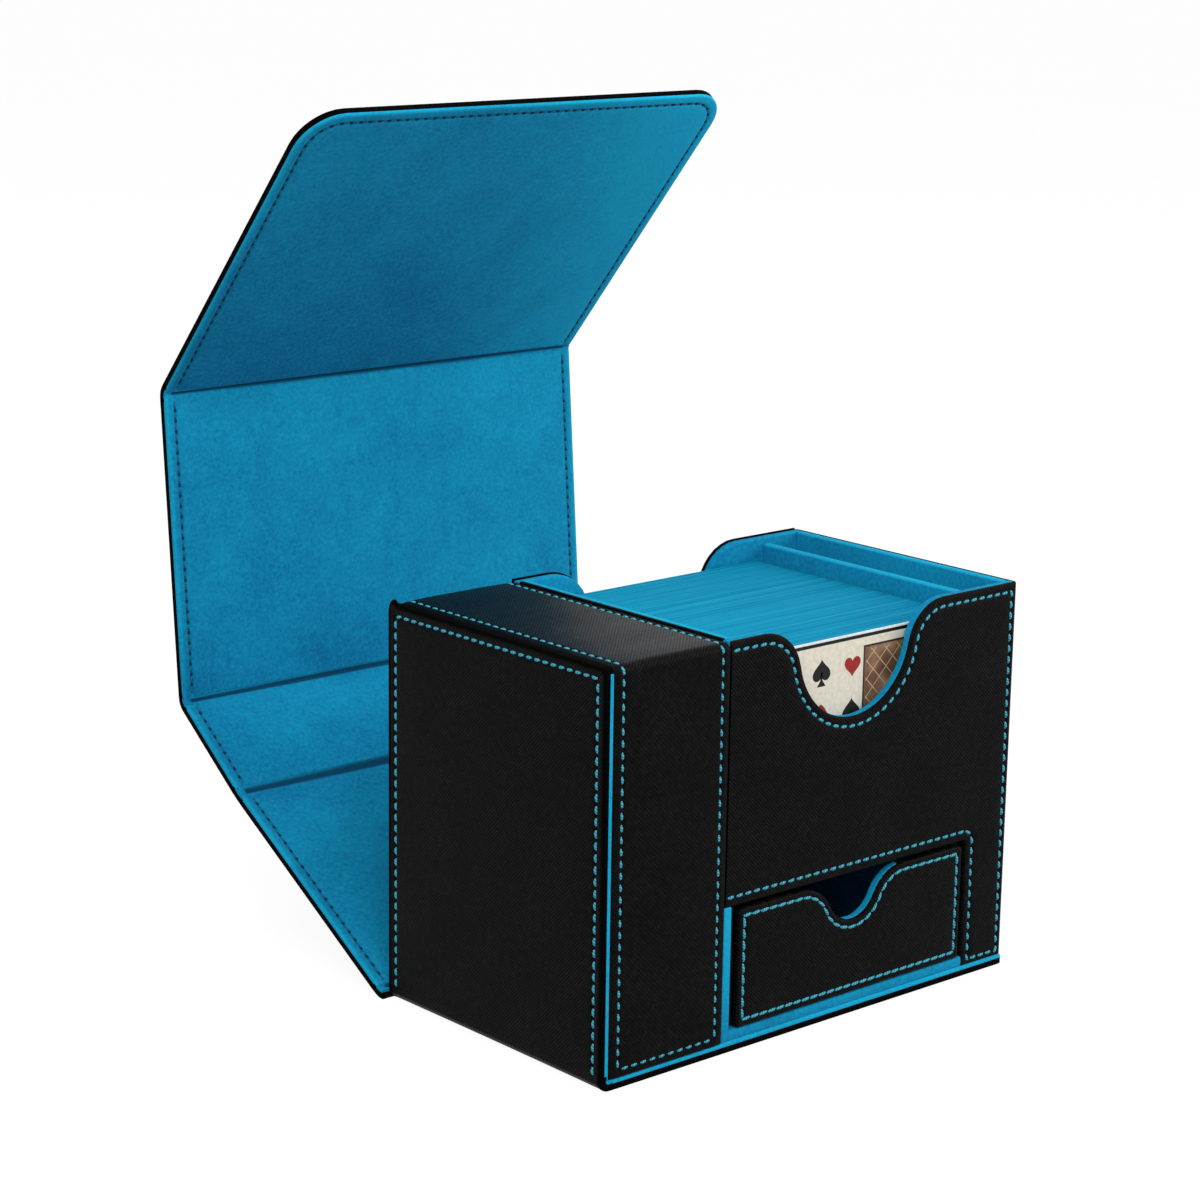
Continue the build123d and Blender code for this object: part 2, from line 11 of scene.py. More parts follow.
import bpy
import numpy as np
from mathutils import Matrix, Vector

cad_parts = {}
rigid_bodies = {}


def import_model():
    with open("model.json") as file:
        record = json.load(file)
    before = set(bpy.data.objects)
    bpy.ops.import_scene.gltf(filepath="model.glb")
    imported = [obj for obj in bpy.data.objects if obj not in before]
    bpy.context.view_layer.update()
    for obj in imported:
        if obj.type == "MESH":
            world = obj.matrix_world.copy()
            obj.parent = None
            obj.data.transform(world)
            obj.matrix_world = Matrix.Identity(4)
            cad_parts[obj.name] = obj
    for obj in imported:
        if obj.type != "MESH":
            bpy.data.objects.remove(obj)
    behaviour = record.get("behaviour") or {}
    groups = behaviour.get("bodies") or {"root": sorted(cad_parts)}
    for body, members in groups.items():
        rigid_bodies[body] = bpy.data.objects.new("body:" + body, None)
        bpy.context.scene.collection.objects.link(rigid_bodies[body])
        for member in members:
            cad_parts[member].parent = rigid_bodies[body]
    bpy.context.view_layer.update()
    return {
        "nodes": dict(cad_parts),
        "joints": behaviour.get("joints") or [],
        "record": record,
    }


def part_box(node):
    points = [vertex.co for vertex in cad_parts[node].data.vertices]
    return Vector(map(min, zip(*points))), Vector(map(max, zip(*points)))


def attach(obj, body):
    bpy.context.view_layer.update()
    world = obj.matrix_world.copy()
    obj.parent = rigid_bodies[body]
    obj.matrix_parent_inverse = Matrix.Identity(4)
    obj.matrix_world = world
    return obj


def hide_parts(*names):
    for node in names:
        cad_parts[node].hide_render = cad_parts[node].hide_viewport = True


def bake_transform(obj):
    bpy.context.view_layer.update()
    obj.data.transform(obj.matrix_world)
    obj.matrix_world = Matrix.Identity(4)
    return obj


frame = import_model()

# %% [markdown]
# ## Sizes
# Shapes are worked out in millimetres, in the frame of the solids: X along the front, Y to the back,
# Z up. Finishes, lamps and the camera count in metres, as Blender does. The sizes come from the packed
# solids themselves, so that a skin always lies on what carries it. They could be typed in again, but
# then a change to the solids would leave the skins behind.

# %% Boxes of solids and places of folds
MM = 0.001
X, Y, Z = np.eye(3)


def solid(name):
    """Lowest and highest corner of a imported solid, in millimetres."""
    low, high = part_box(name)
    return np.array(low) / MM, np.array(high) / MM


joints = {joint["name"]: joint for joint in frame["joints"]}


def fold_axis(name):
    """A point on a fold's axis, in millimetres."""
    return np.array(joints[name]["pos_m"]) / MM


fold_names = ["base_fold", "back_fold", "top_fold", "front_fold"]
fold_axes = [fold_axis(name) for name in fold_names]
# a fold's lower limit is the cover laid flat, so its size is how far the fold is bent here
fold_bends = [-joints[name]["range_deg"][0] for name in fold_names]
rises = np.cumsum(fold_bends)
panel_half = 1.5  # half a panel's thickness, and the radius of a fold
panel_start = 1.8  # from a fold's axis to the edge of the panel
stitch_inset = 3.3  # from a free edge of the cover to its seam
cover_corner = 13.0  # radius of the front panel's two far corners
leather_thickness = 0.9
print("cover rises at", np.round(rises, 1), "degrees")

# %% [markdown]
# ## Small tools for shapes
# Paths, arcs and rectangles come back in every piece, so each is worked out in one place. A path is an
# array with one point in each row, and whole arrays go in and come out, because numpy then does the
# loop over the points itself.

# %% Directions, lengths, arcs and rectangles
def unit(rows):
    """Each row divided by its own length."""
    return rows / np.linalg.norm(rows, axis=-1, keepdims=True)


def run_along(path):
    """How far each point lies along a path: the sum of the steps before it."""
    return np.concatenate([[0], np.cumsum(np.linalg.norm(np.diff(path, axis=0), axis=1))])


def arc(centre, radius, start, end, count):
    """Points centre + radius (cos a, sin a), where a goes from start to end in degrees."""
    angle = np.radians(np.linspace(start, end, count))
    return np.array(centre) + radius * np.stack([np.cos(angle), np.sin(angle)], -1)


def rectangle(low, high, radius):
    """Corners of a rectangle, anticlockwise from its lower left, each with its radius."""
    (left, bottom), (right, top) = low, high
    return [[left, bottom, radius], [right, bottom, radius], [right, top, radius], [left, top, radius]]


def ease(value):
    """0 below 0 and 1 above 1, with the smooth step 3 t^2 - 2 t^3 between."""
    t = np.clip(value, 0, 1)
    return t * t * (3 - 2 * t)


print("a quarter circle of radius 1 is", round(run_along(arc([0, 0], 1, 0, 90, 9))[-1], 3), "long")

# %% [markdown]
# ## Meshes from arrays
# A skin is a closed shell, so it needs a front, a back and a rim between them. One helper puts arrays
# of points and faces into a mesh, and gives it flat coordinates in metres, which carry the grain of the
# leather. foreach_set copies whole arrays at once, which is much quicker than one vertex at a time.

# %% Put arrays into a piece
made = []


def add_piece(name, points, faces, body, material, slot, flat=None, stands_for=(), smooth=40):
    """One piece from points in millimetres and a list of face arrays, one face in each row.

    Edges where the faces turn by more than smooth degrees stay sharp.
    """
    mesh = bpy.data.meshes.new(name)
    points = np.asarray(points, float).reshape(-1, 3)
    loops = np.concatenate([np.ravel(face) for face in faces]).astype(np.int32)
    counts = np.concatenate([np.full(len(face), len(face[0])) for face in faces])
    mesh.vertices.add(len(points))
    mesh.vertices.foreach_set("co", (points * MM).astype(np.float32).ravel())
    mesh.loops.add(len(loops))
    mesh.loops.foreach_set("vertex_index", loops)
    mesh.polygons.add(len(counts))
    starts = np.concatenate([[0], np.cumsum(counts)[:-1]]).astype(np.int32)
    mesh.polygons.foreach_set("loop_start", starts)
    mesh.update(calc_edges=True)
    mesh.validate()
    mesh.polygons.foreach_set("use_smooth", np.ones(len(mesh.polygons), bool))
    mesh.set_sharp_from_angle(angle=radians(smooth))
    if flat is not None:
        layer = mesh.uv_layers.new(name="flat")
        uv = np.asarray(flat, float).reshape(-1, 2) * MM
        layer.data.foreach_set("uv", uv[loops].astype(np.float32).ravel())
    mesh.materials.append(material)
    piece = bpy.data.objects.new(name, mesh)
    bpy.context.scene.collection.objects.link(piece)
    if body:
        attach(piece, body)
    if stands_for:
        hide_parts(*stands_for)
    made.append(name)
    return piece


def mark(piece, name, values):
    """Give each point of a piece a number that its material can read."""
    attribute = piece.data.attributes.new(name, "FLOAT", "POINT")
    attribute.data.foreach_set("value", np.asarray(values, np.float32).ravel())


print("flat coordinates are in metres, and 1 mm is", MM)

# %% [markdown]
# Panels are rectangles, so a grid of points fits them: the two numbers of the surface are the
# distances across and along. The lines of the grid lie close together near an edge, where the skin is
# turned over and sewn, and far apart in the plain middle.

# %% A closed shell over a grid
def shell_faces(rows, columns):
    """Faces of a front grid, a back grid after it, and the rim between them, all facing out."""
    front = np.arange(rows * columns).reshape(rows, columns)
    quads = np.stack([front[:-1, :-1], front[1:, :-1], front[1:, 1:], front[:-1, 1:]], -1)
    quads = quads.reshape(-1, 4)
    back = quads[:, ::-1] + rows * columns
    rim = np.concatenate([front[:-1, 0], front[-1, :-1], front[:0:-1, -1], front[0, :0:-1]])
    after = np.roll(rim, -1)
    side = np.stack([rim + rows * columns, after + rows * columns, after, rim], -1)
    return np.concatenate([quads, back, side])


def add_shell(name, base, normal, low, high, flat, **kind):
    """A closed shell: base + high * normal in front, and base + low * normal behind."""
    front = base + normal * high[..., None]
    back = base + normal * low[..., None]
    points = np.concatenate([front.reshape(-1, 3), back.reshape(-1, 3)])
    flat = np.concatenate([flat.reshape(-1, 2)] * 2)
    return add_piece(name, points, [shell_faces(*low.shape)], flat=flat, **kind)


def mark_shell(piece, name, values):
    """Give a shell's front points a number each, and the back point behind each the same one."""
    mark(piece, name, np.tile(np.ravel(values), 2))


def graded(low, high, near_low, near_high, count):
    """Grid lines from low to high, at the given distances from each end and even in between."""
    first, last = low + np.array(near_low), high - np.array(near_high)[::-1]
    return np.concatenate([first, np.linspace(first[-1], last[0], count + 2)[1:-1], last])


def flat_grid(run, lines):
    """Flat coordinates of a grid: its run in the first, its lines in the second."""
    return np.stack(np.meshgrid(run, lines, indexing="ij"), -1)


def sweep(path, lines, axis):
    """Straight lines carried along a path: the grid's points, its normals and the path's run.

    A point is path + line * axis, and its normal is the path's direction crossed with the axis.
    """
    base = path[:, None] + lines[None, :, None] * axis
    normal = np.cross(unit(np.gradient(path, axis=0)), axis)[:, None] + 0 * base
    return base, normal, run_along(path)


free_lines = [0, 0.05, 0.16, 0.34, 0.55, 0.9, 1.6, 2.3, 2.75, 3.0, 3.3, 3.6, 3.9, 4.6, 6.5, 9.5, 13.0]
fold_lines = [0, 0.07, 0.22, 0.45, 0.8, 1.4, 3.0]
print("grid lines near a free edge:", len(free_lines), "and near a fold:", len(fold_lines))

# %% [markdown]
# Two soft forms repeat all over the object: an edge that is turned over in a quarter circle, and a
# groove where the thread pulls the skin down. They could be cut with bevels, but as formulas they can
# be added to any height.

# %% Turned edge and sewn groove
def edge_drop(distance, radius):
    """How far a turned edge lies below the face: r - sqrt(r^2 - (r - distance)^2)."""
    left = np.clip(radius - distance, 0, radius)
    return radius - np.sqrt(radius**2 - left**2)


def sewn_groove(distance, line, depth, width=0.42):
    """A bell along the line of stitches: depth * exp(-((distance - line) / width)^2)."""
    return depth * np.exp(-(((distance - line) / width) ** 2))


print("an edge of radius 0.5 drops by", edge_drop(np.array([0, 0.1, 0.5]), 0.5).round(2))

# %% [markdown]
# ## Outlines with round corners
# The walls of the card well have a thumb notch, so a plain grid doesn't fit them. Their skin is a
# profile carried round the outline instead: the outline is drawn again and again, each time a little
# further in, and each ring gets its own height. The notch is only corners with large radii, and
# moving in makes an outer corner's radius smaller and an inner corner's larger.


# %% Rings inside an outline
def ring(corners, inset, steps):
    """The outline moved in by inset. corners has a row of x, y and radius for each, anticlockwise.

    A corner's arc has its centre on the corner's bisector; its radius falls by inset at an outer
    corner and grows by it at an inner one.
    """
    corners = np.asarray(corners, float)
    place, radius = corners[:, :2], corners[:, 2]
    towards = unit(place - np.roll(place, 1, 0))
    away = unit(np.roll(place, -1, 0) - place)
    first = np.stack([-towards[:, 1], towards[:, 0]], -1)
    second = np.stack([-away[:, 1], away[:, 0]], -1)
    cross = towards[:, 0] * away[:, 1] - towards[:, 1] * away[:, 0]
    side = np.where(cross >= 0, 1.0, -1.0)
    bisector = (first + second) / (1 + np.sum(first * second, 1))[:, None]
    left = np.maximum(radius - side * inset, 0.02)
    centre = place + bisector * (inset + side * left)[:, None]
    turn = np.arctan2(cross, np.sum(towards * away, 1))
    start = np.arctan2(-side * first[:, 1], -side * first[:, 0])
    angle = start[:, None] + turn[:, None] * np.linspace(0, 1, steps)
    arcs = centre[:, None] + left[:, None, None] * np.stack([np.cos(angle), np.sin(angle)], -1)
    return arcs.reshape(-1, 2)


def notch_corners(middle, top, radius, depth, lip, parts=4):
    """Corners of a round notch in a top edge, from right to left: lip, bowl and lip.

    The bowl is a many-sided shape drawn round its circle, so that its corners' arcs join up. A lip's
    arc touches both the top edge and the bowl.
    """
    reach = ((radius + lip) ** 2 - (depth - radius - lip) ** 2) ** 0.5
    bowl = top - depth + radius
    tilt = np.arctan2(top - lip - bowl, reach)
    touch = np.array([np.cos(tilt), np.sin(tilt)]) * radius + [0, bowl]
    lip_x = touch[0] - (top - touch[1]) * np.tan(tilt)
    step = (pi + 2 * tilt) / parts
    angle = tilt - step * (np.arange(parts) + 0.5)
    bowl_x = middle + radius / cos(step / 2) * np.cos(angle)
    bowl_y = bowl + radius / cos(step / 2) * np.sin(angle)
    arcs = np.stack([bowl_x, bowl_y, np.full(parts, radius)], -1)
    return [[middle + lip_x, top, lip], *arcs.tolist(), [middle - lip_x, top, lip]]


print("a ring of 4 corners has", len(ring(rectangle([0, 0], [10, 10], 1), 0.5, 8)), "points")


# %% Carry a profile round an outline
class Place:
    """A flat frame: an origin and the directions of its x, y and height."""

    def __init__(self, origin, along, up):
        self.origin, self.along, self.up = np.array(origin, float), along, up
        self.out = np.cross(along, up)

    def at(self, x, y, height):
        """The point origin + x * along + y * up + height * out, for numbers or whole arrays."""
        steps = [np.asarray(value)[..., None] for value in (x, y, height)]
        return self.origin + steps[0] * self.along + steps[1] * self.up + steps[2] * self.out

    def way(self, flat):
        """Directions in the frame's x and y as directions in space."""
        return flat[..., :1] * self.along + flat[..., 1:] * self.up


def ring_faces(count, size):
    """Faces between count rings of size points each, and the two end faces, all facing out."""
    index = np.arange(count * size).reshape(count, size)
    after = np.roll(index, -1, 1)
    quads = np.stack([index[:-1], after[:-1], after[1:], index[1:]], -1).reshape(-1, 4)
    return [quads, np.stack([index[0, ::-1], index[-1]])]


def copied(faces, copies, size):
    """The same faces on each copy of a shape of size points, where the copies follow one another."""
    shift = np.arange(copies)[:, None, None] * size
    return [(part + shift).reshape(-1, part.shape[-1]) for part in faces]


def add_rimmed(name, corners, profile, place, steps=8, clip=None, **kind):
    """A closed sheet: profile is rows of inset and height, from the back round the rim to the front.

    clip is the lowest and the highest x and y, where the sheet is cut off straight.
    """
    profile = np.array(profile, float)
    rings = np.stack([ring(corners, inset, steps) for inset in profile[:, 0]])
    if clip is not None:
        rings = np.clip(rings, *clip)
    count, size = rings.shape[:2]
    height = np.repeat(profile[:, 1][:, None], size, 1)
    points = place.at(rings[..., 0], rings[..., 1], height)
    return add_piece(name, points, ring_faces(count, size), flat=rings, **kind)


print("a frame along X and up Z looks out to", Place([0, 0, 0], X, Z).out)

# %% [markdown]
# ## Thread
# The seams are lockstitches: short lengths of thick blue thread, each of which dives into the skin at
# both ends and lies a little aslant. A dashed line in the material would be flat, so every stitch is
# a small swollen tube. The whole seam is worked out at once from the places and directions of its
# stitches.

# %% Places of stitches along a path
stitch_pitch, stitch_length, stitch_width = 3.3, 2.25, 0.95
look_around = 0.8  # the direction of a path is taken over this far to each side


def spaced(path, closed=False, margin=0.0):
    """Even places along a path, one for each stitch, and the direction of the path at each.

    margin is kept free of stitches at both ends.
    """
    path = np.asarray(path, float)
    if closed:
        path = np.concatenate([path, path[:1]])
    run = run_along(path)
    count = max(int(round((run[-1] - 2 * margin) / stitch_pitch)), 1)
    middle = margin + (np.arange(count) + 0.5) * (run[-1] - 2 * margin) / count

    def at(distance):
        return np.stack([np.interp(distance, run, path[:, i]) for i in range(path.shape[1])], -1)

    before, beyond = np.maximum(middle - look_around, 0), np.minimum(middle + look_around, run[-1])
    return at(middle), unit(at(beyond) - at(before))


print("a seam of 100 mm has", len(spaced([[0, 0], [100, 0]])[0]), "stitches")


# %% Sew a seam
def add_seam(name, middles, ways, normals, body, material, slot, sunk=0.0, length=stitch_length):
    """Stitches: each a tube with half-width w = W/2 (1 - 0.35 t^4) and half-height 0.8 w.

    t runs from -1 to 1 along the stitch, which rises by 0.34 (1 - t^2) and is let in by 0.12. Each
    is turned by 7 degrees from the seam, and sunk lowers them all.
    """
    rounds, sides = 7, 6
    t = np.array([-1, -0.82, -0.45, 0, 0.45, 0.82, 1])[:, None]
    angle = np.arange(sides)[None] * 2 * pi / sides
    half = stitch_width / 2 * (1 - 0.35 * t**4)
    along = np.broadcast_to(length / 2 * t, (rounds, sides))
    across = half * np.cos(angle)
    lift = half * 0.8 * np.sin(angle) + 0.34 * (1 - t**2) - 0.12 - sunk
    aslant = radians(7)
    forward = ways * cos(aslant) + np.cross(normals, ways) * sin(aslant)
    side = np.cross(normals, forward)
    points = (
        middles[:, None, None]
        + along[..., None] * forward[:, None, None]
        + across[..., None] * side[:, None, None]
        + lift[..., None] * normals[:, None, None]
    )
    faces = copied(ring_faces(rounds, sides), len(middles), rounds * sides)
    twist = np.stack([along, np.broadcast_to(angle, (rounds, sides))], -1)
    flat = np.broadcast_to(twist, (len(middles), rounds, sides, 2))
    return add_piece(name, points, faces, body, material, slot, flat=flat, smooth=80)


print("stitches are", stitch_length, "long and", stitch_width, "wide")

# %% [markdown]
# ## Finishes
# Each finish is a node group that works out the pattern of one real surface, so that several
# materials can share it. A group puts out values that change over the surface, and each material
# keeps its own shader and its constant numbers.

# %% Nodes, links and maths
def node(tree, kind, **settings):
    """A new node with some of its settings."""
    made_node = tree.nodes.new(kind)
    for key, value in settings.items():
        setattr(made_node, key, value)
    return made_node


def set_inputs(item, values):
    """Fill a node's inputs, by name or number: an output is linked, and a plain value is typed in."""
    for name, value in values.items():
        if isinstance(value, bpy.types.NodeSocket):
            item.id_data.links.new(value, item.inputs[name])
        else:
            item.inputs[name].default_value = value


def maths(tree, operation, *values):
    """A maths node between outputs or numbers, and its own output."""
    made_node = node(tree, "ShaderNodeMath", operation=operation)
    set_inputs(made_node, dict(enumerate(values)))
    return made_node.outputs[0]


def plus(tree, first, second):
    """The sum of two outputs or numbers."""
    return maths(tree, "ADD", first, second)


def times(tree, first, second):
    """The product of two outputs or numbers."""
    return maths(tree, "MULTIPLY", first, second)


print("nodes can be made, Blender", bpy.app.version_string)


# %% Places, marks and noise
def parts_of(tree, place):
    """The separate X, Y and Z of a place."""
    made_node = node(tree, "ShaderNodeSeparateXYZ")
    set_inputs(made_node, {0: place})
    return made_node.outputs


def noise(tree, place, scale, detail=2.0, roughness=0.5, distortion=0.0):
    """Soft noise from 0 to 1 at a place in metres; a larger scale makes it finer."""
    made_node = node(tree, "ShaderNodeTexNoise", noise_dimensions="3D")
    set_inputs(made_node, {"Vector": place, "Scale": scale, "Detail": detail})
    set_inputs(made_node, {"Roughness": roughness, "Distortion": distortion})
    return made_node.outputs["Fac"]


def own_place(tree):
    """Where a point lies on its own piece."""
    return node(tree, "ShaderNodeTexCoord").outputs["Object"]


def flat_place(tree):
    """Where a point lies on its piece when that is laid out flat."""
    return node(tree, "ShaderNodeUVMap", uv_map="flat").outputs[0]


def read_mark(tree, name):
    """The number that the points of a piece were marked with, and 0 where they weren't."""
    return node(tree, "ShaderNodeAttribute", attribute_name=name).outputs["Fac"]


print("a pattern lies on a piece's own place or on its flat map")


# %% Node groups
def group(name, inputs, outputs):
    """A node group with named number or vector sockets: its tree, what it takes and what it gives."""
    kinds = {"value": "NodeSocketFloat", "vector": "NodeSocketVector"}
    tree = bpy.data.node_groups.new(name, "ShaderNodeTree")
    for socket, kind in inputs.items():
        tree.interface.new_socket(name=socket, in_out="INPUT", socket_type=kinds[kind])
    for socket, kind in outputs.items():
        tree.interface.new_socket(name=socket, in_out="OUTPUT", socket_type=kinds[kind])
    return tree, tree.nodes.new("NodeGroupInput").outputs, tree.nodes.new("NodeGroupOutput")


def pattern(tree, which, values):
    """Place a node group in a material with values of its own, and give its outputs."""
    made_node = node(tree, "ShaderNodeGroup", node_tree=which)
    set_inputs(made_node, values)
    return made_node.outputs


print("a group takes and gives numbers and vectors")

# %% [markdown]
# Synthetic leather of this kind is pressed with a very fine crossed grain: short ridges along both
# diagonals, a little uneven. Two sets of sine ridges at 45 degrees give the crossing, and noise
# bends and fades them so that no two places are alike.

# %% Crossed grain
grain, taken, given = group(
    "crossed grain", {"Flat": "vector", "Ridge": "value"}, {"Height": "value", "Tone": "value"}
)
wander = noise(grain, taken["Flat"], 520)
patches = noise(grain, taken["Flat"], 60, detail=3)
flat_x, flat_y, _ = parts_of(grain, taken["Flat"])
shift = times(grain, wander, 4.5)
ridges = []
for operation, stretch in (("ADD", 1.0), ("SUBTRACT", 0.8)):
    run = maths(grain, operation, flat_x, flat_y)
    turns = maths(grain, "DIVIDE", times(grain, run, stretch * 2 * pi), taken["Ridge"])
    wave = maths(grain, "SINE", plus(grain, turns, shift))
    ridges.append(times(grain, plus(grain, wave, 1.0), 0.5))
pressed = maths(grain, "MAXIMUM", times(grain, *ridges), times(grain, ridges[0], 0.55))
faded = times(grain, pressed, plus(grain, times(grain, patches, 0.5), 0.65))
uneven = plus(grain, times(grain, patches, 0.25), times(grain, wander, 0.9))
tone = plus(grain, times(grain, faded, 0.7), maths(grain, "SUBTRACT", uneven, 0.42))
set_inputs(given, {"Height": faded, "Tone": tone})
print("grain:", len(grain.nodes), "nodes")

# %% [markdown]
# Suede is a nap of fine fibres. Where a hand has brushed it one way it looks lighter, and darker
# where it lies the other way, in soft clouds some centimetres wide. Three sizes of noise give the
# clouds, the smaller blotches and the hairs.

# %% Brushed nap
nap, taken, given = group("brushed nap", {"Place": "vector"}, {"Tone": "value", "Height": "value"})
clouds = noise(nap, taken["Place"], 26, detail=4, roughness=0.55, distortion=0.4)
blotches = noise(nap, taken["Place"], 210, detail=3)
hairs = noise(nap, taken["Place"], 900)
coarse = plus(nap, times(nap, clouds, 0.34), times(nap, blotches, 0.1))
tone = plus(nap, plus(nap, coarse, times(nap, hairs, 0.4)), 0.08)
height = plus(nap, hairs, times(nap, blotches, 0.6))
set_inputs(given, {"Tone": tone, "Height": height})
print("nap:", len(nap.nodes), "nodes")

# %% [markdown]
# Thread is twisted from strands, which show as slanting stripes. Paper, board and ink show short
# fibres in every direction. Polished leather and the edges of many sleeves show long streaks, which
# are noise that is stretched. All three serve several materials, so they are groups as well.

# %% Strands, fibres and streaks
strands, taken, given = group("twisted strands", {"Flat": "vector"}, {"Height": "value"})
along, around, _ = parts_of(strands, taken["Flat"])
strand_pitch, strand_count = 0.0009, 2
# the flat map of a stitch holds the angle round it, multiplied by MM like every other flat map
turned = times(strands, around, strand_count / MM)
wave = maths(strands, "SINE", plus(strands, times(strands, along, 2 * pi / strand_pitch), turned))
set_inputs(given, {"Height": plus(strands, times(strands, wave, 0.5), 0.5)})

fibres, taken, given = group(
    "short fibres", {"Place": "vector", "Scale": "value"}, {"Height": "value"}
)
set_inputs(given, {"Height": noise(fibres, taken["Place"], taken["Scale"], detail=5, distortion=1.5)})

streaky, taken, given = group(
    "long streaks", {"Place": "vector", "Stretch": "vector", "Scale": "value"}, {"Streak": "value"}
)
stretched = node(streaky, "ShaderNodeMapping")
set_inputs(stretched, {"Vector": taken["Place"], "Scale": taken["Stretch"]})
set_inputs(given, {"Streak": noise(streaky, stretched.outputs[0], taken["Scale"], detail=5)})
print("groups:", [tree.name for tree in bpy.data.node_groups])

# %% [markdown]
# A material's colours are given as they look on a screen and turned into the linear colours that a
# shader takes. A ramp turns a pattern into tones, and a bump tilts the shading where real relief would
# need far too many points.

# %% Colours and bumps
def linear(red, green, blue):
    """A colour from 0 to 255 as seen on a screen, as the linear colour that a shader takes."""
    seen = np.array([red, green, blue]) / 255
    low = seen <= 0.04045
    value = np.where(low, seen / 12.92, ((seen + 0.055) / 1.055) ** 2.4)
    return (*value.tolist(), 1.0)


def ramp(tree, factor, stops):
    """A colour that changes with a factor, from rows of place and colour."""
    made_node = node(tree, "ShaderNodeValToRGB")
    points = made_node.color_ramp.elements
    for i, (place, colour) in enumerate(stops):
        point = points[i] if i < len(points) else points.new(place)
        point.position = place
        point.color = colour
    set_inputs(made_node, {0: factor})
    return made_node.outputs[0]


def paint(tree, mask, under, colour):
    """One colour over another where the mask is 1."""
    mix = node(tree, "ShaderNodeMix", data_type="RGBA")
    set_inputs(mix, {"Factor": mask, 6: under, 7: colour})
    return mix.outputs[2]


def new_material(name):
    """An empty material with one shader, and its tree."""
    material = bpy.data.materials.new(name)
    material.use_nodes = True
    tree = material.node_tree
    tree.nodes.clear()
    shader = node(tree, "ShaderNodeBsdfPrincipled")
    set_inputs(node(tree, "ShaderNodeOutputMaterial"), {0: shader.outputs[0]})
    return material, tree, shader


def bump(tree, shader, height, strength, distance):
    """Shade the surface as if it stood up by height times distance, in metres."""
    made_node = node(tree, "ShaderNodeBump")
    set_inputs(made_node, {"Strength": strength, "Distance": distance, "Height": height})
    set_inputs(shader, {"Normal": made_node.outputs[0]})


print("mid grey on a screen is", round(linear(128, 128, 128)[0], 3), "in a shader")

# %% [markdown]
# The leather is nearly black, and its relief shows only as soft glints. Near its free edges it is made
# blacker still and duller, and the strip over the bin is a little polished. A material for each would
# do, but the change is gradual, so the points of a piece carry numbers that tell one material where it
# is.


# %% Black leather
def leather_material(name, flat_map=True):
    """Black synthetic leather with the crossed grain, on the piece's flat map or on its own place.

    The mark edge blackens and dulls it near its free edges, and the mark polish gives it a faint
    clear coat.
    """
    material, tree, shader = new_material(name)
    place = flat_place(tree) if flat_map else own_place(tree)
    pressed = pattern(tree, grain, {"Flat": place, "Ridge": 0.00115})
    greys = [(0.1, linear(2, 2, 2)), (0.45, linear(8, 8, 8)), (0.9, linear(30, 30, 29))]
    edge = read_mark(tree, "edge")
    rough = maths(tree, "SUBTRACT", 0.5, times(tree, pressed["Height"], 0.14))
    # where the leather is polished, long streaks run along it from side to side
    along_x = {"Place": own_place(tree), "Stretch": (12, 150, 150), "Scale": 1.0}
    streaks = pattern(tree, streaky, along_x)["Streak"]
    uneven = times(tree, plus(tree, streaks, pressed["Tone"]), 0.18)
    look = {
        "Base Color": paint(tree, edge, ramp(tree, pressed["Tone"], greys), linear(1, 1, 1)),
        "Roughness": plus(tree, rough, times(tree, edge, 0.45)),
        "Specular IOR Level": 0.03,
        "Coat Weight": times(tree, read_mark(tree, "polish"), uneven),
        "Coat Roughness": 0.28,
    }
    set_inputs(shader, look)
    bump(tree, shader, pressed["Height"], 0.5, 0.00014)
    return material


black_leather = leather_material("black leather")
in_leather = {"material": black_leather, "slot": "black_leather"}
print("made", black_leather.name)

# %% [markdown]
# The suede is dyed one blue, and its nap makes lighter and darker tones; marks on the pieces add
# painted light and shade to them. Real hairs would need millions of strands, so the shader's sheen
# stands for them: it brightens a surface that is seen from the side.


# %% Blue suede
def suede_material(name, tones):
    """Blue suede: the brushed nap as four tones of blue, darkest first, with a soft sheen.

    The mark brushed makes it lighter, partly as painted light, and the mark crease darkens it as
    pressed nap and painted shade.
    """
    material, tree, shader = new_material(name)
    brushed = pattern(tree, nap, {"Place": own_place(tree)})
    tone = plus(tree, brushed["Tone"], read_mark(tree, "brushed"))
    colour = ramp(tree, tone, list(zip((0.14, 0.34, 0.64, 0.94), tones)))
    look = {
        # the crease colour is painted shade in folds and along seams, over nap that is pressed there
        "Base Color": paint(tree, read_mark(tree, "crease"), colour, linear(3, 50, 80)),
        "Roughness": 0.95,
        "Specular IOR Level": 0.1,
        "Sheen Weight": 0.12,
        "Sheen Roughness": 0.5,
        "Sheen Tint": linear(90, 190, 225),
    }
    set_inputs(shader, look)
    bump(tree, shader, brushed["Height"], 0.22, 0.0002)
    return material


# the two darkest blues lean bluer, as painted bounce light from the blue lining in shade
suede_tones = [linear(0, 85, 138), linear(7, 116, 162), linear(19, 160, 202), linear(26, 182, 226)]
blue_suede = suede_material("blue suede", suede_tones)
in_suede = {"material": blue_suede, "slot": "blue_suede"}
print("made", blue_suede.name)

# %% [markdown]
# The other finishes are small or plain on the real box. Two tones and a shallow bump are enough for
# them, so the threads share one function, and board, paper, ink and steel share another.


# %% Thread, board, black paper and steel
def thread_material(name, dark, light):
    """Thread of twisted strands: slanting stripes round each stitch."""
    material, tree, shader = new_material(name)
    height = pattern(tree, strands, {"Flat": flat_place(tree)})["Height"]
    colour = ramp(tree, height, [(0.0, dark), (1.0, light)])
    set_inputs(shader, {"Base Color": colour, "Roughness": 0.6, "Specular IOR Level": 0.15})
    bump(tree, shader, height, 0.4, 0.0001)
    return material


blue_thread = thread_material("blue thread", linear(32, 128, 152), linear(88, 192, 214))
inner_thread = thread_material("inner thread", linear(6, 84, 120), linear(14, 124, 164))


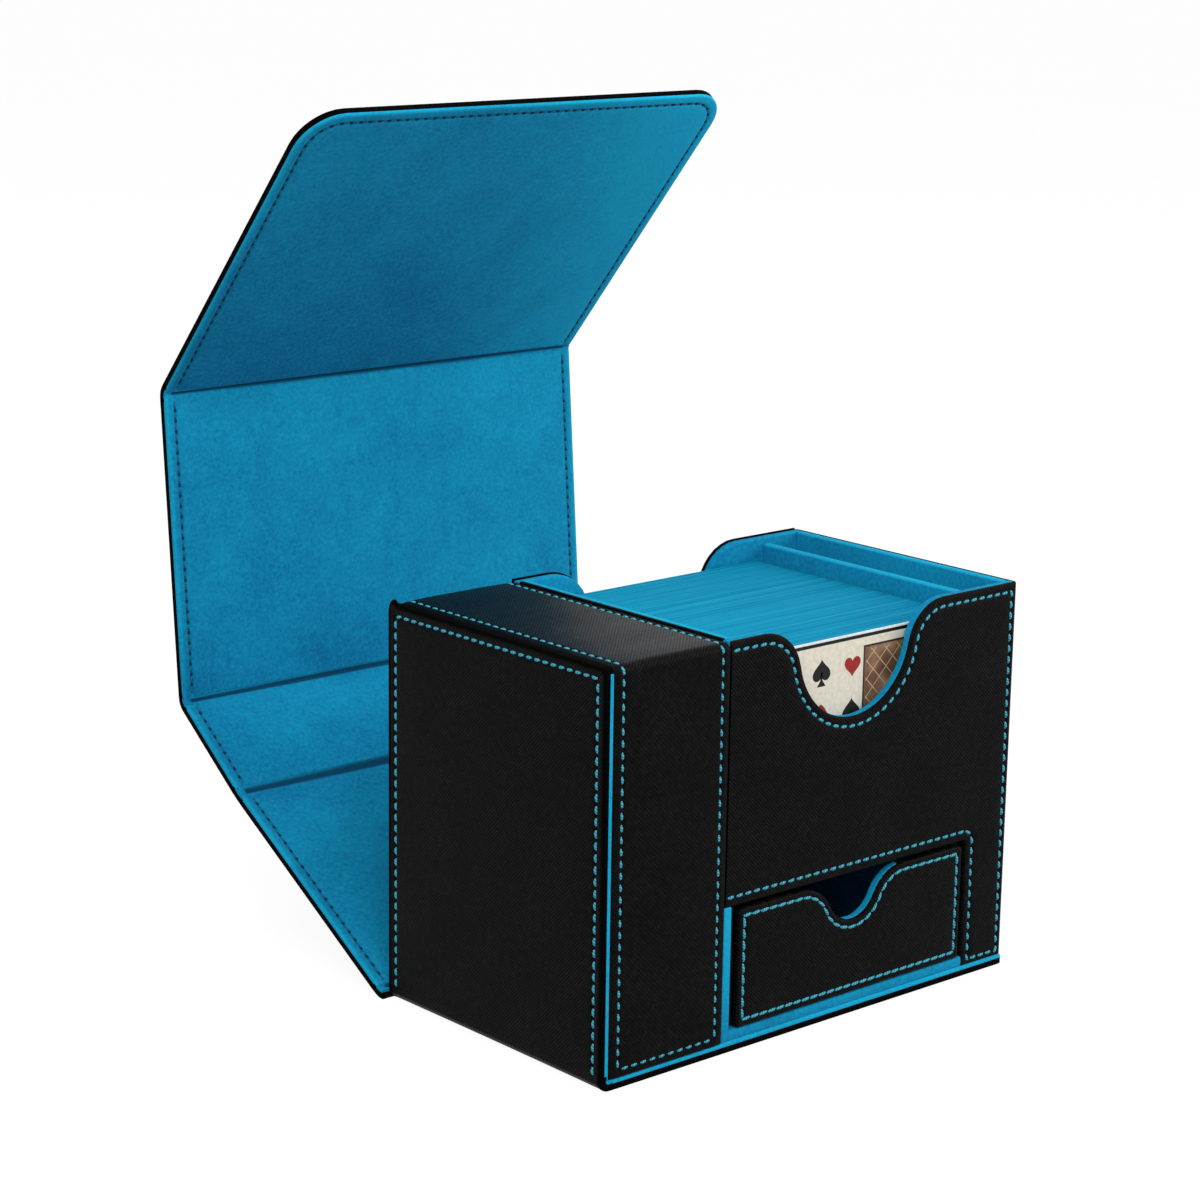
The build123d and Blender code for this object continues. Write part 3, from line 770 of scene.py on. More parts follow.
def board_material(name, dark, light, scale, roughness, metallic=0.0):
    """Board, paper, ink or plated steel: short fibres in every direction between two tones."""
    material, tree, shader = new_material(name)
    height = pattern(tree, fibres, {"Place": own_place(tree), "Scale": scale})["Height"]
    colour = ramp(tree, height, [(0.3, dark), (0.7, light)])
    set_inputs(shader, {"Base Color": colour, "Roughness": roughness, "Metallic": metallic})
    set_inputs(shader, {"Specular IOR Level": 0.2})
    bump(tree, shader, height, 0.2, 0.0001)
    return material


grey_board = board_material("grey board", linear(120, 116, 110), linear(160, 155, 148), 900, 0.9)
black_paper = board_material("black paper", linear(10, 10, 11), linear(22, 22, 23), 1200, 0.8)
steel = board_material("plated steel", linear(150, 150, 154), linear(190, 190, 195), 500, 0.35, 1.0)
# the needle holes' dark blue is painted shade in the dents
needle_hole_shade = board_material("needle hole", linear(2, 42, 68), linear(5, 60, 92), 900, 1.0)
print("finishes:", [material.name for material in bpy.data.materials])

# %% [markdown]
# ## Camera, floor and light
# The camera stands where the photograph was taken from: to the left of the box, a little above it,
# with a long lens. The floor and the backdrop are plain and pale, and large soft lamps light the
# object evenly from the left, from the right and from above.

# %% Camera


def stand(item, place, side, over, back):
    """Put a camera or a lamp in its place. A matrix takes plain lists column by column."""
    columns = [[*map(float, axis), 0.0] for axis in (side, over, back)]
    item.matrix_world = [*columns, [*map(float, place), 1.0]]
    bpy.context.scene.collection.objects.link(item)


look_azimuth, look_elevation, look_roll = radians(41.481), radians(13.565), radians(0.860)
camera_place = (-0.59296, -0.62330, 0.32159)
to_right = np.array([cos(look_azimuth), -sin(look_azimuth), 0])
to_back = np.array([sin(look_azimuth), cos(look_azimuth), 0])
ahead = to_back * cos(look_elevation) - Z * sin(look_elevation)
side = cos(look_roll) * to_right + sin(look_roll) * np.cross(to_right, ahead)
camera_data = bpy.data.cameras.new("camera")
camera = bpy.data.objects.new("camera", camera_data)
stand(camera, camera_place, side, np.cross(side, ahead), -ahead)
bpy.context.scene.camera = camera
camera_data.sensor_width = 36
camera_data.lens = 93.24
camera_data.clip_start, camera_data.clip_end = 0.02, 30
print("camera", np.round(camera.location, 4), "lens", camera_data.lens)

# %% Lamps
middle_of_box = np.array([0.0, 0.03, 0.1])
for name, place, size, power in (
    ("key lamp", (-0.9, -0.9, 1.3), 1.1, 17),
    ("right lamp", (1.3, -0.8, 0.6), 1.0, 12),
    ("top lamp", (0.1, 0.5, 1.6), 1.0, 5),
):
    data = bpy.data.lights.new(name, "AREA")
    data.shape, data.size, data.energy = "SQUARE", size, power
    aim = unit(middle_of_box - np.array(place))
    side = unit(np.cross(aim, Z))
    stand(bpy.data.objects.new(name, data), place, side, np.cross(side, aim), -aim)
    print(name, "of", power, "watts")

# %% [markdown]
# The backdrop has to be white behind the object, yet a white world would wash the object out. So the
# world and the floor each have two looks: bright to rays that see them straight or in a reflection,
# and softer to the light that falls on the object.

# %% World, white to the camera and softer on the object
def seen_directly(tree):
    """1 for rays from the camera, from a gloss or through glass, and 0 for the light on things."""
    rays = node(tree, "ShaderNodeLightPath").outputs
    seen = plus(tree, rays["Is Camera Ray"], rays["Is Glossy Ray"])
    return plus(tree, seen, rays["Is Transmission Ray"])


white = (1.0, 1.0, 1.0, 1.0)
world = bpy.data.worlds.new("world")
bpy.context.scene.world = world
world.use_nodes = True
sky = world.node_tree
sky.nodes.clear()
soft_light, backdrop = node(sky, "ShaderNodeBackground"), node(sky, "ShaderNodeBackground")
set_inputs(soft_light, {"Color": white, "Strength": 0.42})
set_inputs(backdrop, {"Color": white, "Strength": 1.0})
either = node(sky, "ShaderNodeMixShader")
set_inputs(either, {0: seen_directly(sky), 1: soft_light.outputs[0], 2: backdrop.outputs[0]})
set_inputs(node(sky, "ShaderNodeOutputWorld"), {0: either.outputs[0]})
print("world:", len(sky.nodes), "nodes")

# %% Floor
floor_material, tree, shader = new_material("pale floor")
greys = [(0.0, linear(176, 176, 177)), (1.0, linear(182, 182, 182))]
pale = ramp(tree, noise(tree, own_place(tree), 3), greys)
set_inputs(shader, {"Base Color": pale, "Roughness": 0.9, "Specular IOR Level": 0.1})
glow = node(tree, "ShaderNodeEmission")
set_inputs(glow, {"Color": white, "Strength": 1.24})
either = node(tree, "ShaderNodeMixShader")
share = times(tree, seen_directly(tree), 0.75)
set_inputs(either, {0: share, 1: shader.outputs[0], 2: glow.outputs[0]})
set_inputs(tree.nodes["Material Output"], {0: either.outputs[0]})
floor_mesh = bpy.data.meshes.new("floor")
floor_mesh.from_pydata([(-6, -6, 0), (6, -6, 0), (6, 6, 0), (-6, 6, 0)], [], [(0, 1, 2, 3)])
floor_mesh.materials.append(floor_material)
floor = bpy.data.objects.new("floor", floor_mesh)
bpy.context.scene.collection.objects.link(floor)
bpy.context.scene.view_settings.view_transform = "Standard"
print("stage ready")

# %% [markdown]
# ## The cover's panels
# The cover is one long sheet of leather with boards glued to it, lined with suede and sewn all round.
# Each panel is made as two closed shells that meet inside its edge, leather outside and suede
# inside, so that the edge shows a black and a blue line as the real one does. A free edge is turned
# over and sewn; at a fold the skins only dip, because they run on into the next panel.


# %% Grid of a panel
def panel_grid(x_range, y_range, free, corner, short=0.0):
    """Points of a panel's grid, and each one's distance from the free edges and from the folds.

    free says for left, right, near and far whether that side is a free edge. A corner between two
    free sides is round: squares round the corner's centre are bent into circles of the same size.
    short is how far the grid stops before the far edge.
    """
    plain_across, plain_along = 16, 14  # grid lines in the plain middle
    lines = [free_lines if side else fold_lines for side in free]
    xs = graded(*x_range, lines[0], lines[1], plain_across)
    ys = graded(y_range[0], y_range[1] - short, lines[2], lines[3], plain_along)
    x, y = np.meshgrid(xs, ys, indexing="ij")
    gaps = [x - x_range[0], x_range[1] - x, y - y_range[0], y_range[1] - y]
    far_off = np.full(x.shape, 1000.0)
    to_free = np.min([gap if side else far_off for gap, side in zip(gaps, free)], axis=0)
    to_fold = np.min([far_off if side else gap for gap, side in zip(gaps, free)], axis=0)
    for across, along in ((0, 2), (1, 2), (0, 3), (1, 3)):
        if not (free[across] and free[along]):
            continue
        a, b = 1 - gaps[across] / corner, 1 - gaps[along] / corner
        inside = (a > 0) & (b > 0)
        large = np.where(inside, np.maximum(a, b), 1.0)
        turn = pi / 4 * np.where(inside, np.minimum(a, b), 0.0) / large
        turn = np.where(a >= b, turn, pi / 2 - turn)
        from_x, from_y = corner * (1 - large * np.cos(turn)), corner * (1 - large * np.sin(turn))
        new_x = x_range[0] + from_x if across == 0 else x_range[1] - from_x
        new_y = y_range[0] + from_y if along == 2 else y_range[1] - from_y
        x, y = np.where(inside, new_x, x), np.where(inside, new_y, y)
    return x, y, to_free, to_fold, gaps[3]


print("the cover's panels are", 2 * panel_half, "thick")

# %% [markdown]
# The leather's face is a height over the panel's middle: half the thickness, less the sewn groove and
# the turned edges, plus a gentle swell over the board. Only the outside swells, so that the inside lies
# flat on the box. The suede's face has no swell; painted shade darkens it along the seam, and a
# painted highlight lightens it along the free edges.


# %% Leather and lining of a panel
def add_panel(
    name, body, place, x_range, y_range, free, corner, nodes, brushed=lambda across, along: 0 * across,
    swell=0.2, groove=0.42, joint_height=0.6, turned_over=0.0, soft_edge=0.55,
):
    """A panel's leather and its lining, each a closed shell on its side of the joint in the edge.

    joint_height is where the two skins meet, above the panel's middle. turned_over is how wide the
    leather is folded over to the inside along the far edge; the lining stops there. brushed gives
    each point of the lining its painted light and shade, from its place across and along the panel.
    soft_edge is the radius of the lining's free edge.
    """
    leather_node, board_node, lining_node = nodes
    for skin, short in (("leather", 0.0), ("suede", turned_over)):
        outside = skin == "leather"
        x, y, to_free, to_fold, to_far = panel_grid(x_range, y_range, free, corner, short)
        across = (x - x_range[0]) / (x_range[1] - x_range[0])
        along = (y - y_range[0]) / (y_range[1] - y_range[0])
        joint = np.full(x.shape, joint_height)
        if turned_over and outside:
            # the outer skin alone stands up as a small point at one end of the far edge
            ear_place, ear_width, ear_height = 2.0, 1.5, 1.2
            ear = np.exp(-(((x_range[1] - ear_place - x) / ear_width) ** 2)) * ease(1 - to_far / 4)
            thin = ease(1 - (x_range[1] - x - 3.5) / 1.0)
            y = y + ear_height * ear
            joint += (1.4 - joint_height) * ease((turned_over + 0.4 - to_far) / 0.4) * (1 - thin)
            joint -= 0.7 * thin * ease((turned_over - to_far) / 0.5)
        full = swell if outside else 0.0
        swelling = full * ease((np.minimum(to_free, to_fold + 2) - stitch_inset) / 9)
        height = panel_half - sewn_groove(to_free, stitch_inset, groove) + swelling
        edge_round, fold_round = (0.3, 0.5) if outside else (soft_edge, 0.25)
        height = height - edge_drop(to_free, edge_round) - edge_drop(to_fold, fold_round)
        flat = np.stack([x, y], -1)
        base = place.at(x, y, 0 * x)
        out = np.broadcast_to(place.out, base.shape)
        if outside:
            # the leather looks the other way, so its grid runs backwards
            rows = [base[::-1], -out, -joint[::-1], height[::-1], flat[::-1]]
            hides = (leather_node, board_node)
            leather = add_shell(f"{name}_leather_skin", *rows, body=body, stands_for=hides, **in_leather)
            mark_shell(leather, "edge", ease((1.3 - to_free[::-1]) / 0.5))
            continue
        rows = [base, out, joint, height, flat]
        suede = add_shell(f"{name}_suede_skin", *rows, body=body, stands_for=(lining_node,), **in_suede)
        # painted shade darkens the seam's line, over nap that the thread presses, and a painted highlight
        # lightens the rounded free edges
        mark_shell(suede, "crease", 0.25 * np.exp(-(((to_free - stitch_inset) / 0.55) ** 2)))
        rim_highlight = 0.16 * ease((1.3 - to_free) / 0.7)
        mark_shell(suede, "brushed", brushed(across, along) + rim_highlight)


print("the cover's seams run", stitch_inset, "from its edges")

# %% [markdown]
# The seam of the cover shows on both sides. Outside, the thread is bright against the leather. Inside,
# it sinks into the suede, and the needle's holes show as dents between the stitches, painted dark as
# shade.


# %% Seams of a panel
def add_holes(name, middles, ways, normals, body):
    """Dents of the needle: oval dishes, with their rims a little higher than their middles."""
    sides, half_along, half_across = 8, 0.6, 0.5
    rim_level, middle_level, foot_level = 0.24, 0.02, 0.3
    angle = np.arange(sides)[None, :, None] * 2 * pi / sides
    beside = np.cross(normals, ways)
    around = np.cos(angle) * half_along * ways[:, None]
    around = around + np.sin(angle) * half_across * beside[:, None]
    rim = middles[:, None] + around + rim_level * normals[:, None]
    below = middles[:, None] + around * 0.9 - foot_level * normals[:, None]
    bottom = middles[:, None] + middle_level * normals[:, None]
    points = np.concatenate([rim, below, bottom], 1)
    index, after = np.arange(sides), np.roll(np.arange(sides), -1)
    wall = np.stack([index + sides, after + sides, after, index], -1)
    dish = np.stack([index, after, np.full(sides, 2 * sides)], -1)
    under = (index + sides)[::-1][None]
    faces = copied([wall, dish, under], len(middles), 2 * sides + 1)
    add_piece(name, points, faces, body, needle_hole_shade, "blue_suede", smooth=80)


def add_panel_seams(name, body, place, path):
    """The seam of a panel on its leather side and on its suede side."""
    middles, directions = spaced(path, margin=0.6)
    ways = place.way(directions)
    for side, sign, thread, slot, sunk in (
        ("outer", -1.0, blue_thread, "black_leather", 0.0),
        ("inner", 1.0, inner_thread, "blue_suede", 0.28),
    ):
        level = np.full(len(middles), sign * (panel_half - 0.3))
        spots = place.at(middles[:, 0], middles[:, 1], level)
        normals = np.broadcast_to(sign * place.out, spots.shape)
        add_seam(f"{name}_{side}_thread", spots, ways, normals, body, thread, slot, sunk)
        if side == "inner":
            between = (spots[1:] + spots[:-1]) / 2
            forward = unit(ways[1:] + ways[:-1])
            add_holes(f"{name}_needle_holes", between, forward, normals[1:], body)


def round_seam(edge, far, bend, count):
    """Path of a seam up a panel's right side, round its far corners and down its left side."""
    right_arc = arc([edge - bend, far - bend], bend, 0, 90, count)
    left_arc = right_arc[::-1] * [-1, 1]
    return np.concatenate([[[edge, panel_start]], right_arc, left_arc, [[-edge, panel_start]]])


print("a needle's dent is 1.2 long and the stitches are", stitch_pitch, "apart")

# %% [markdown]
# The long cover is four panels in a chain, from the bottom of the back to the free end. A loop makes
# them, because they differ only in length, in slope and in the light and shade painted on their
# lining. The far end of the last one is the free edge of the cover, so its corners are round and its
# seam goes round them.

# %% The long cover, panel by panel
cover_low, cover_high = solid("back_lower_leather")
cover_middle = (cover_low[0] + cover_high[0]) / 2
half_width = (cover_high[0] - cover_low[0]) / 2
# painted light and shade on each panel's lining, across from the left and along from its fold;
# the front panel is darkest, and lighter towards its right
panel_light_and_shade = [
    lambda across, along: 0.02 - 0.08 * along,
    lambda across, along: -0.01 - 0.02 * across - 0.02 * (1 - along),
    lambda across, along: -0.05 + 0.08 * across + 0.09 * (along - 0.5),
    lambda across, along: -0.14 - 0.1 * across + 0.45 * across**3 + 0.14 * along,
]
panel_bodies = ["back_lower_panel", "back_upper_panel", "top_cover_panel", "front_cover_panel"]
for i, name in enumerate(("back_lower", "back_upper", "top_panel", "front_panel")):
    body, rise, last = panel_bodies[i], radians(rises[i]), i == 3
    place = Place([cover_middle, *fold_axes[i][1:]], X, np.array([0, cos(rise), sin(rise)]))
    if last:
        top = solid("front_panel_leather")[1][2] - fold_axes[i][2]
        end = (top - panel_half * abs(cos(rise))) / sin(rise)
    else:
        end = np.linalg.norm(fold_axes[i + 1] - fold_axes[i]) - panel_start
    nodes = [f"{name}_{layer}" for layer in ("leather", "board", "lining")]
    spans, free = [(-half_width, half_width), (panel_start, end)], (True, True, False, last)
    add_panel(name, body, place, *spans, free, cover_corner, nodes, panel_light_and_shade[i])
    edge = half_width - stitch_inset
    if last:
        path = round_seam(edge, end - stitch_inset, cover_corner - stitch_inset, 9)
        add_panel_seams(name, body, place, path)
    else:
        for side, sign in (("left", -1), ("right", 1)):
            path = [[sign * edge, panel_start], [sign * edge, end]]
            add_panel_seams(f"{name}_{side}", body, place, path)
    print(name, "panel from", panel_start, "to", round(end, 2))

# %% [markdown]
# ## The side cover and the bottom panel
# The side cover closes the open left side of the bin. It is a panel like the others, sewn along its
# three free edges. The bottom panel carries the whole box: it stays flat, and only its edge shows.

# %% Side cover
side_axis = fold_axis("side_fold")
side_high = solid("side_cover_leather")[1]
side_place = Place([side_axis[0], 0, side_axis[2]], Y, Z)
side_half, side_end = side_high[1], side_high[2] - side_axis[2]
side_nodes = ["side_cover_leather", "side_cover_board", "side_cover_lining"]
add_panel(
    "side", "side_cover", side_place, (-side_half, side_half), (panel_start, side_end),
    (True, True, False, True), 2.3, side_nodes, joint_height=0.1, turned_over=1.5,
)
side_seam = round_seam(side_half - stitch_inset, side_end - stitch_inset, 1.5, 5)
add_panel_seams("side", "side_cover", side_place, side_seam)
print("side cover", round(side_end, 1), "tall")

# %% Bottom panel
bottom_low, bottom_high = solid("bottom_leather")
bottom_place = Place([(bottom_low[0] + bottom_high[0]) / 2, 0, panel_half], X, Y)
bottom_half = (bottom_high[0] - bottom_low[0]) / 2
bottom_nodes = ["bottom_leather", "bottom_board", "bottom_lining"]
add_panel(
    "bottom", "box", bottom_place, (-bottom_half, bottom_half), (bottom_low[1], bottom_high[1]),
    (False, True, True, False), 1.6, bottom_nodes, swell=0.0, groove=0.0, joint_height=0.45,
    soft_edge=0.85,
)
print("bottom panel", round(2 * bottom_half, 1), "wide")

# %% [markdown]
# ## The folds
# Between two panels the skins run on without a board. Each fold is a strip of leather and a strip of
# suede along a smooth curve whose corner would be the fold's axis. They are made in place and belong
# to no body.


# %% Strip across a fold
def add_fold(name, axis, first_way, second_way, x_axis, reach, crease, under=1.2):
    """Leather and suede over a fold, along (1 - t)^2 start + 2 t (1 - t) axis + t^2 end.

    first_way and second_way point along the two panels, and x_axis along the fold. crease is
    half the width of the line in the suede that is pressed and painted darker as shade, and under
    how far the strip runs on under the first panel's edge, or, below 0, how far it stays away from it.
    """
    start = axis - (panel_start + min(under, 0)) * first_way
    end = axis + panel_start * second_way
    t = np.linspace(0, 1, 17)[:, None]
    curve = (1 - t) ** 2 * start + 2 * t * (1 - t) * axis + t**2 * end
    ways = (1 - t) * (axis - start) + t * (end - axis)
    hidden = 1 if under > 0 else 0
    curve = np.array([*[start - under * first_way] * hidden, *curve, end + 1.2 * second_way])
    ways = unit(np.array([*[first_way] * hidden, *ways, second_way]))
    across = graded(*reach, free_lines[:13], free_lines[:13], 3)
    to_edge = np.minimum(across - reach[0], reach[1] - across)
    run = run_along(curve)
    from_crease = np.abs(run - run[-1] / 2)[:, None]
    for side, turn, low, deep, full, edge, kind in (
        ("leather", 1, -0.6, 1.18, 1.45, 0.3, in_leather),
        ("suede", -1, 0.55, 0.75, 1.35, 0.45, in_suede),
    ):
        line, ends = across[::turn], to_edge[::turn][None]
        base = curve[:, None] + line[None, :, None] * x_axis
        normal = np.cross(ways, turn * x_axis)[:, None] + 0 * base
        # the skins are folded double at the ends of a fold, and away from its crease they rise
        # to the panels' faces
        wide = crease * (0.6 + 0.4 * ease(ends / 40))
        risen = np.maximum(ease((2.6 - ends) / 1.6), ease((from_crease - 0.3) / wide))
        high = deep + (full - deep) * risen - edge_drop(ends, edge)
        low = np.full(high.shape, low)
        flat = flat_grid(run, line)[..., ::-1]
        strip = add_shell(f"{name}_{side}", base, normal, low, high, flat, body=None, **kind)
        if side == "suede":
            # the crease's painted shade, over nap that the fold presses
            pressed = np.exp(-((from_crease / wide) ** 4)) * ease((ends - 2.2) / 1.0)
            mark_shell(strip, "crease", 0.9 * pressed)
        else:
            mark_shell(strip, "edge", ease((1.3 - ends + 0 * from_crease) / 0.5))
        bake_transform(strip)


print("a fold's skins meet", panel_start, "from its axis")

# %% All five folds
ways = [Y, *[np.array([0, cos(radians(rise)), sin(radians(rise))]) for rise in rises]]
creases = [1.6, 1.9, 1.3, 1.1]
for i, name in enumerate(fold_names):
    reach = (cover_low[0], cover_high[0])
    # the long cover's left end passes behind the side cover, and leaves room for it to lie flat
    under = -0.2 if i == 0 else 1.2
    add_fold(name, fold_axes[i], ways[i], ways[i + 1], X, reach, creases[i], under)
# the side cover rises from the bottom panel's left edge, which runs towards -X
add_fold("side_fold", side_axis, -X, Z, Y, (-side_half, side_half), 0.8)
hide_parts("bottom_folds")
print("folds:", fold_names + ["side_fold"])

# %% [markdown]
# ## The bin
# One strip of leather goes up the front of the bin, over its top and down its back, sewn near both
# long edges and along both ends. Its path is drawn as seen from the side: up the back and round its
# bend, then along the top, and then the first part mirrored for the front. Inside, suede covers the
# boards and shows as a blue rim on the open side.

# %% Leather strip of the bin
strip_low, strip_high = solid("bin_leather")
strip_bottom, strip_top = strip_low[2], strip_high[2]
strip_bend = 2.5
bend_y, bend_z = strip_high[1] - strip_bend, strip_top - strip_bend
rise_lines = graded(strip_bottom, bend_z, free_lines[:14], [0, 1.5, 4.0], 8)
back_up = np.stack([np.full(len(rise_lines), strip_high[1]), rise_lines], -1)
back_bend = arc([bend_y, bend_z], strip_bend, 0, 90, 9)[1:-1]
over = np.linspace(bend_y, strip_low[1] + strip_bend, 14)
top_line = np.stack([over, np.full(len(over), strip_top)], -1)
up_and_round = np.concatenate([back_up, back_bend])
strip_path = np.concatenate([up_and_round, top_line, up_and_round[::-1] * [-1, 1]])
strip_path = np.insert(strip_path, 0, 0.0, axis=1)
strip_x = graded(strip_low[0], strip_high[0], free_lines[:15], free_lines[:15], 8)
base, normal, strip_run = sweep(strip_path, strip_x, X)
from_end = np.minimum(strip_run, strip_run[-1] - strip_run)
from_side = np.minimum(strip_x - strip_low[0], strip_high[0] - strip_x)
end_gap, side_gap = np.meshgrid(from_end, from_side, indexing="ij")
strip_seam, end_seam, strip_groove = 3.0, 2.3, 0.26
nearest = np.minimum(side_gap, end_gap + (strip_seam - end_seam))
strip_height = (
    0.14 * ease((nearest - strip_seam) / 8)
    - edge_drop(side_gap, 0.5)
    - edge_drop(end_gap, 0.45)
    - sewn_groove(nearest, strip_seam, strip_groove)
    - 0.3 * ease(1 - side_gap / strip_seam)
)
strip_back = np.full(strip_height.shape, -leather_thickness)
rows = [base, normal, strip_back, strip_height, flat_grid(strip_run, strip_x)[..., ::-1]]
strip = add_shell("bin_strip", *rows, body="box", stands_for=("bin_leather",), **in_leather)
polished = np.clip(normal[..., 2], 0, 1) ** 6 * ease((side_gap - strip_seam + 0.4) / 1.5)
mark_shell(strip, "polish", polished)
print("strip of", round(strip_run[-1], 1), "mm")

# %% Seam of the strip
# the closed cover's lining presses on these stitches, so they lie a little deeper than the others
pressed_in = {"body": "box", "material": blue_thread, "slot": "black_leather", "sunk": 0.15}
left_line, right_line = strip_low[0] + strip_seam, strip_high[0] - strip_seam
inner = (from_end >= end_seam) & (from_end < strip_run[-1])
seam_path = strip_path[inner] - normal[inner, 0] * strip_groove
first, last = (end * [1, 1, 0] + [0, 0, strip_bottom + end_seam] for end in seam_path[[0, -1]])
seam_path = np.concatenate([[first], seam_path, [last]])
for name, line in (("left", left_line), ("right", right_line)):
    middles, directions = spaced(seam_path + line * X)
    add_seam(f"bin_{name}_thread", middles, directions, np.cross(directions, X), **pressed_in)
for name, spot, out in (("back", first, Y), ("front", last, -Y)):
    middles, directions = spaced([spot + (left_line + 1) * X, spot + (right_line - 1) * X])
    normals = np.broadcast_to(out, middles.shape)
    add_seam(f"bin_{name}_end_thread", middles, directions, normals, **pressed_in)
print("seams from", np.round(left_line, 1), "to", np.round(right_line, 1))

# %% Blue inside of the bin
inside_low = solid("bin_lining")[0]
board_front = solid("bin_front_board")[0][1]
tube_top, tube_bottom = strip_top - leather_thickness, inside_low[2]
tube_depth = 40.9  # how far the suede reaches in from the open side
tube_corners = [
    [-board_front, tube_top, 1.6],
    [board_front, tube_top, 1.6],
    [board_front, tube_bottom, 0.3],
    [-board_front, tube_bottom, 0.3],
]
tube_profile = [(0, -tube_depth), (0, 0.02), (0.06, 0.09), (0.25, 0.12)]
tube_profile += [(1.9, 0.12), (2.25, -0.05), (2.5, -0.4), (2.5, 2 - tube_depth)]
tube_place = Place([inside_low[0], 0, 0], -Y, Z)
bin_boards = [f"bin_{side}_board" for side in ("front", "back", "top", "right")]
tube = {"steps": 5, "body": "box", "stands_for": ("bin_lining", *bin_boards)}
add_rimmed("bin_suede", tube_corners, tube_profile, tube_place, **tube, **in_suede)
print("the bin is", round(tube_top - tube_bottom, 1), "tall inside its leather")

# %% [markdown]
# ## The walls of the card well
# Each wall is a board wrapped in suede with leather on its outer face. Both skins follow the same
# outline with its thumb notch; the leather's own edge makes the thin black line beside the blue one.
# Where a sheet of leather ends under the bin's strip or at the box's right corner, its outline runs on
# and is cut off straight.

# %% Skins of a wall
seam_inset = 2.7  # from a wall's edge to its seam
face_level, groove_floor, seam_level = 0.92, 0.64, 0.62  # heights over the board
leather_profile = [(0, 0.0), (0, 0.4), (0.06, 0.6), (0.2, 0.78), (0.5, 0.9), (1.7, face_level)]
leather_profile += [(2.2, 0.84), (2.5, 0.7), (seam_inset, groove_floor), (2.9, 0.7), (3.2, 0.84), (3.8, 0.95)]
leather_profile += [(5.5, 1.0), (7.5, 1.03)]
wall_thickness = 2.5  # a board and its lining


def wrapped_profile(thickness, front_round=0.45, back_round=0.75):
    """Rim of a board wrapped in suede: a quarter circle at the back and one at the front."""
    back = arc([back_round, back_round - thickness], back_round, -90, -180, 5)
    front = arc([front_round, -front_round], front_round, 180, 90, 5)
    return np.concatenate([back, front])


def add_wall(side, corners, profile, clip, lined, place):
    """A wall of the card well: its leather, and behind it a board wrapped in suede."""
    sheet = {"clip": clip, "body": "box", "stands_for": (f"well_{side}_leather",)}
    add_rimmed(f"well_{side}_sheet", corners, profile, place, **sheet, **in_leather)
    board = {"body": "box", "stands_for": (f"well_{side}_board", f"well_{side}_lining")}
    wrapped = wrapped_profile(wall_thickness)
    add_rimmed(f"well_{side}_board_suede", lined, wrapped, place, **board, **in_suede)


print("the groove in the leather is", round(face_level - groove_floor, 2), "deep")

# %% Front wall
front_low, front_high = solid("well_front_leather")
lined_low, lined_high = solid("well_front_lining")
notch_middle, well_middle = 13.5, 15.2
notch_radius, notch_depth, notch_lip = 22.0, 29.0, 14.0
box_top, hem = front_high[2], 1.2
window_top, window_right = 42.0, 62.0
corner_bend = 1.6
run_on, above_all = 9.0, 200.0
wall_notch = notch_corners(notch_middle, box_top, notch_radius, notch_depth, notch_lip)
front_corners = [
    [front_low[0] - run_on, window_top, 0.1],
    [window_right, window_top, 1.0],
    [window_right, front_low[2] - hem, 0.6],
    [front_high[0], front_low[2] - hem, 1.0],
    [front_high[0], box_top, 1.2],
    *wall_notch,
    [front_low[0] - run_on, box_top, 0.1],
]
front_place = Place([0, front_high[1], 0], X, Z)
front_clip = ([front_low[0], front_low[2]], [front_high[0] - corner_bend, above_all])
lined_corners = [
    [lined_low[0], window_top, 0.3],
    [window_right, window_top, 0.8],
    [window_right, lined_low[2], 0.3],
    [lined_high[0], lined_low[2], 0.3],
    [lined_high[0], box_top, 0.3],
    *wall_notch,
    [lined_low[0], box_top, 0.3],
]
add_wall("front", front_corners, leather_profile, front_clip, lined_corners, front_place)
print("front wall up to", round(box_top, 1))


# %% Black edge round the drawer's window
corner_steps = 12  # points on each corner where a strip or a seam follows an outline


def add_edging(name, corners, place, steps, deep, height, ends, **kind):
    """A strip of skin laid over part of an outline's edge, from its front to its back.

    steps says which of the ring's points it follows, deep its front and back, height how far it
    stands out from the edge, and ends over what length it sinks in at both ends.
    """
    edge_round, below_edge = 0.3, -0.62
    line = ring(corners, 0.0, corner_steps)[steps]
    out = unit(ring(corners, -edge_round, corner_steps)[steps] - line)
    run = run_along(line)
    from_end = np.minimum(run, run[-1] - run)
    rows = np.linspace(*deep[::-1], 7)
    base = np.stack([place.at(line[:, 0], line[:, 1], np.full(len(line), row)) for row in rows], 1)
    normal = np.broadcast_to(place.way(out)[:, None], base.shape)
    to_rim = np.minimum(rows - rows.min(), rows.max() - rows)[None]
    lift = height + edge_round
    if ends:
        lift = lift * ease((from_end + 0.01) / ends)[:, None]
    high = lift - edge_round - edge_drop(to_rim, edge_round) + 0 * from_end[:, None]
    low = np.full(high.shape, below_edge)
    add_shell(name, base, normal, low, high, flat_grid(run, rows), **kind)


# from the last point of the window's first corner to the first point after its second
window_steps = np.arange(corner_steps - 1, 2 * corner_steps + 1)
window_edge = {"steps": window_steps, "deep": (0.4, -2.3), "height": 0.3, "ends": 0}
add_edging("window_edge_leather", lined_corners, front_place, **window_edge, body="box", **in_leather)
print("window edge of", len(window_steps), "points")


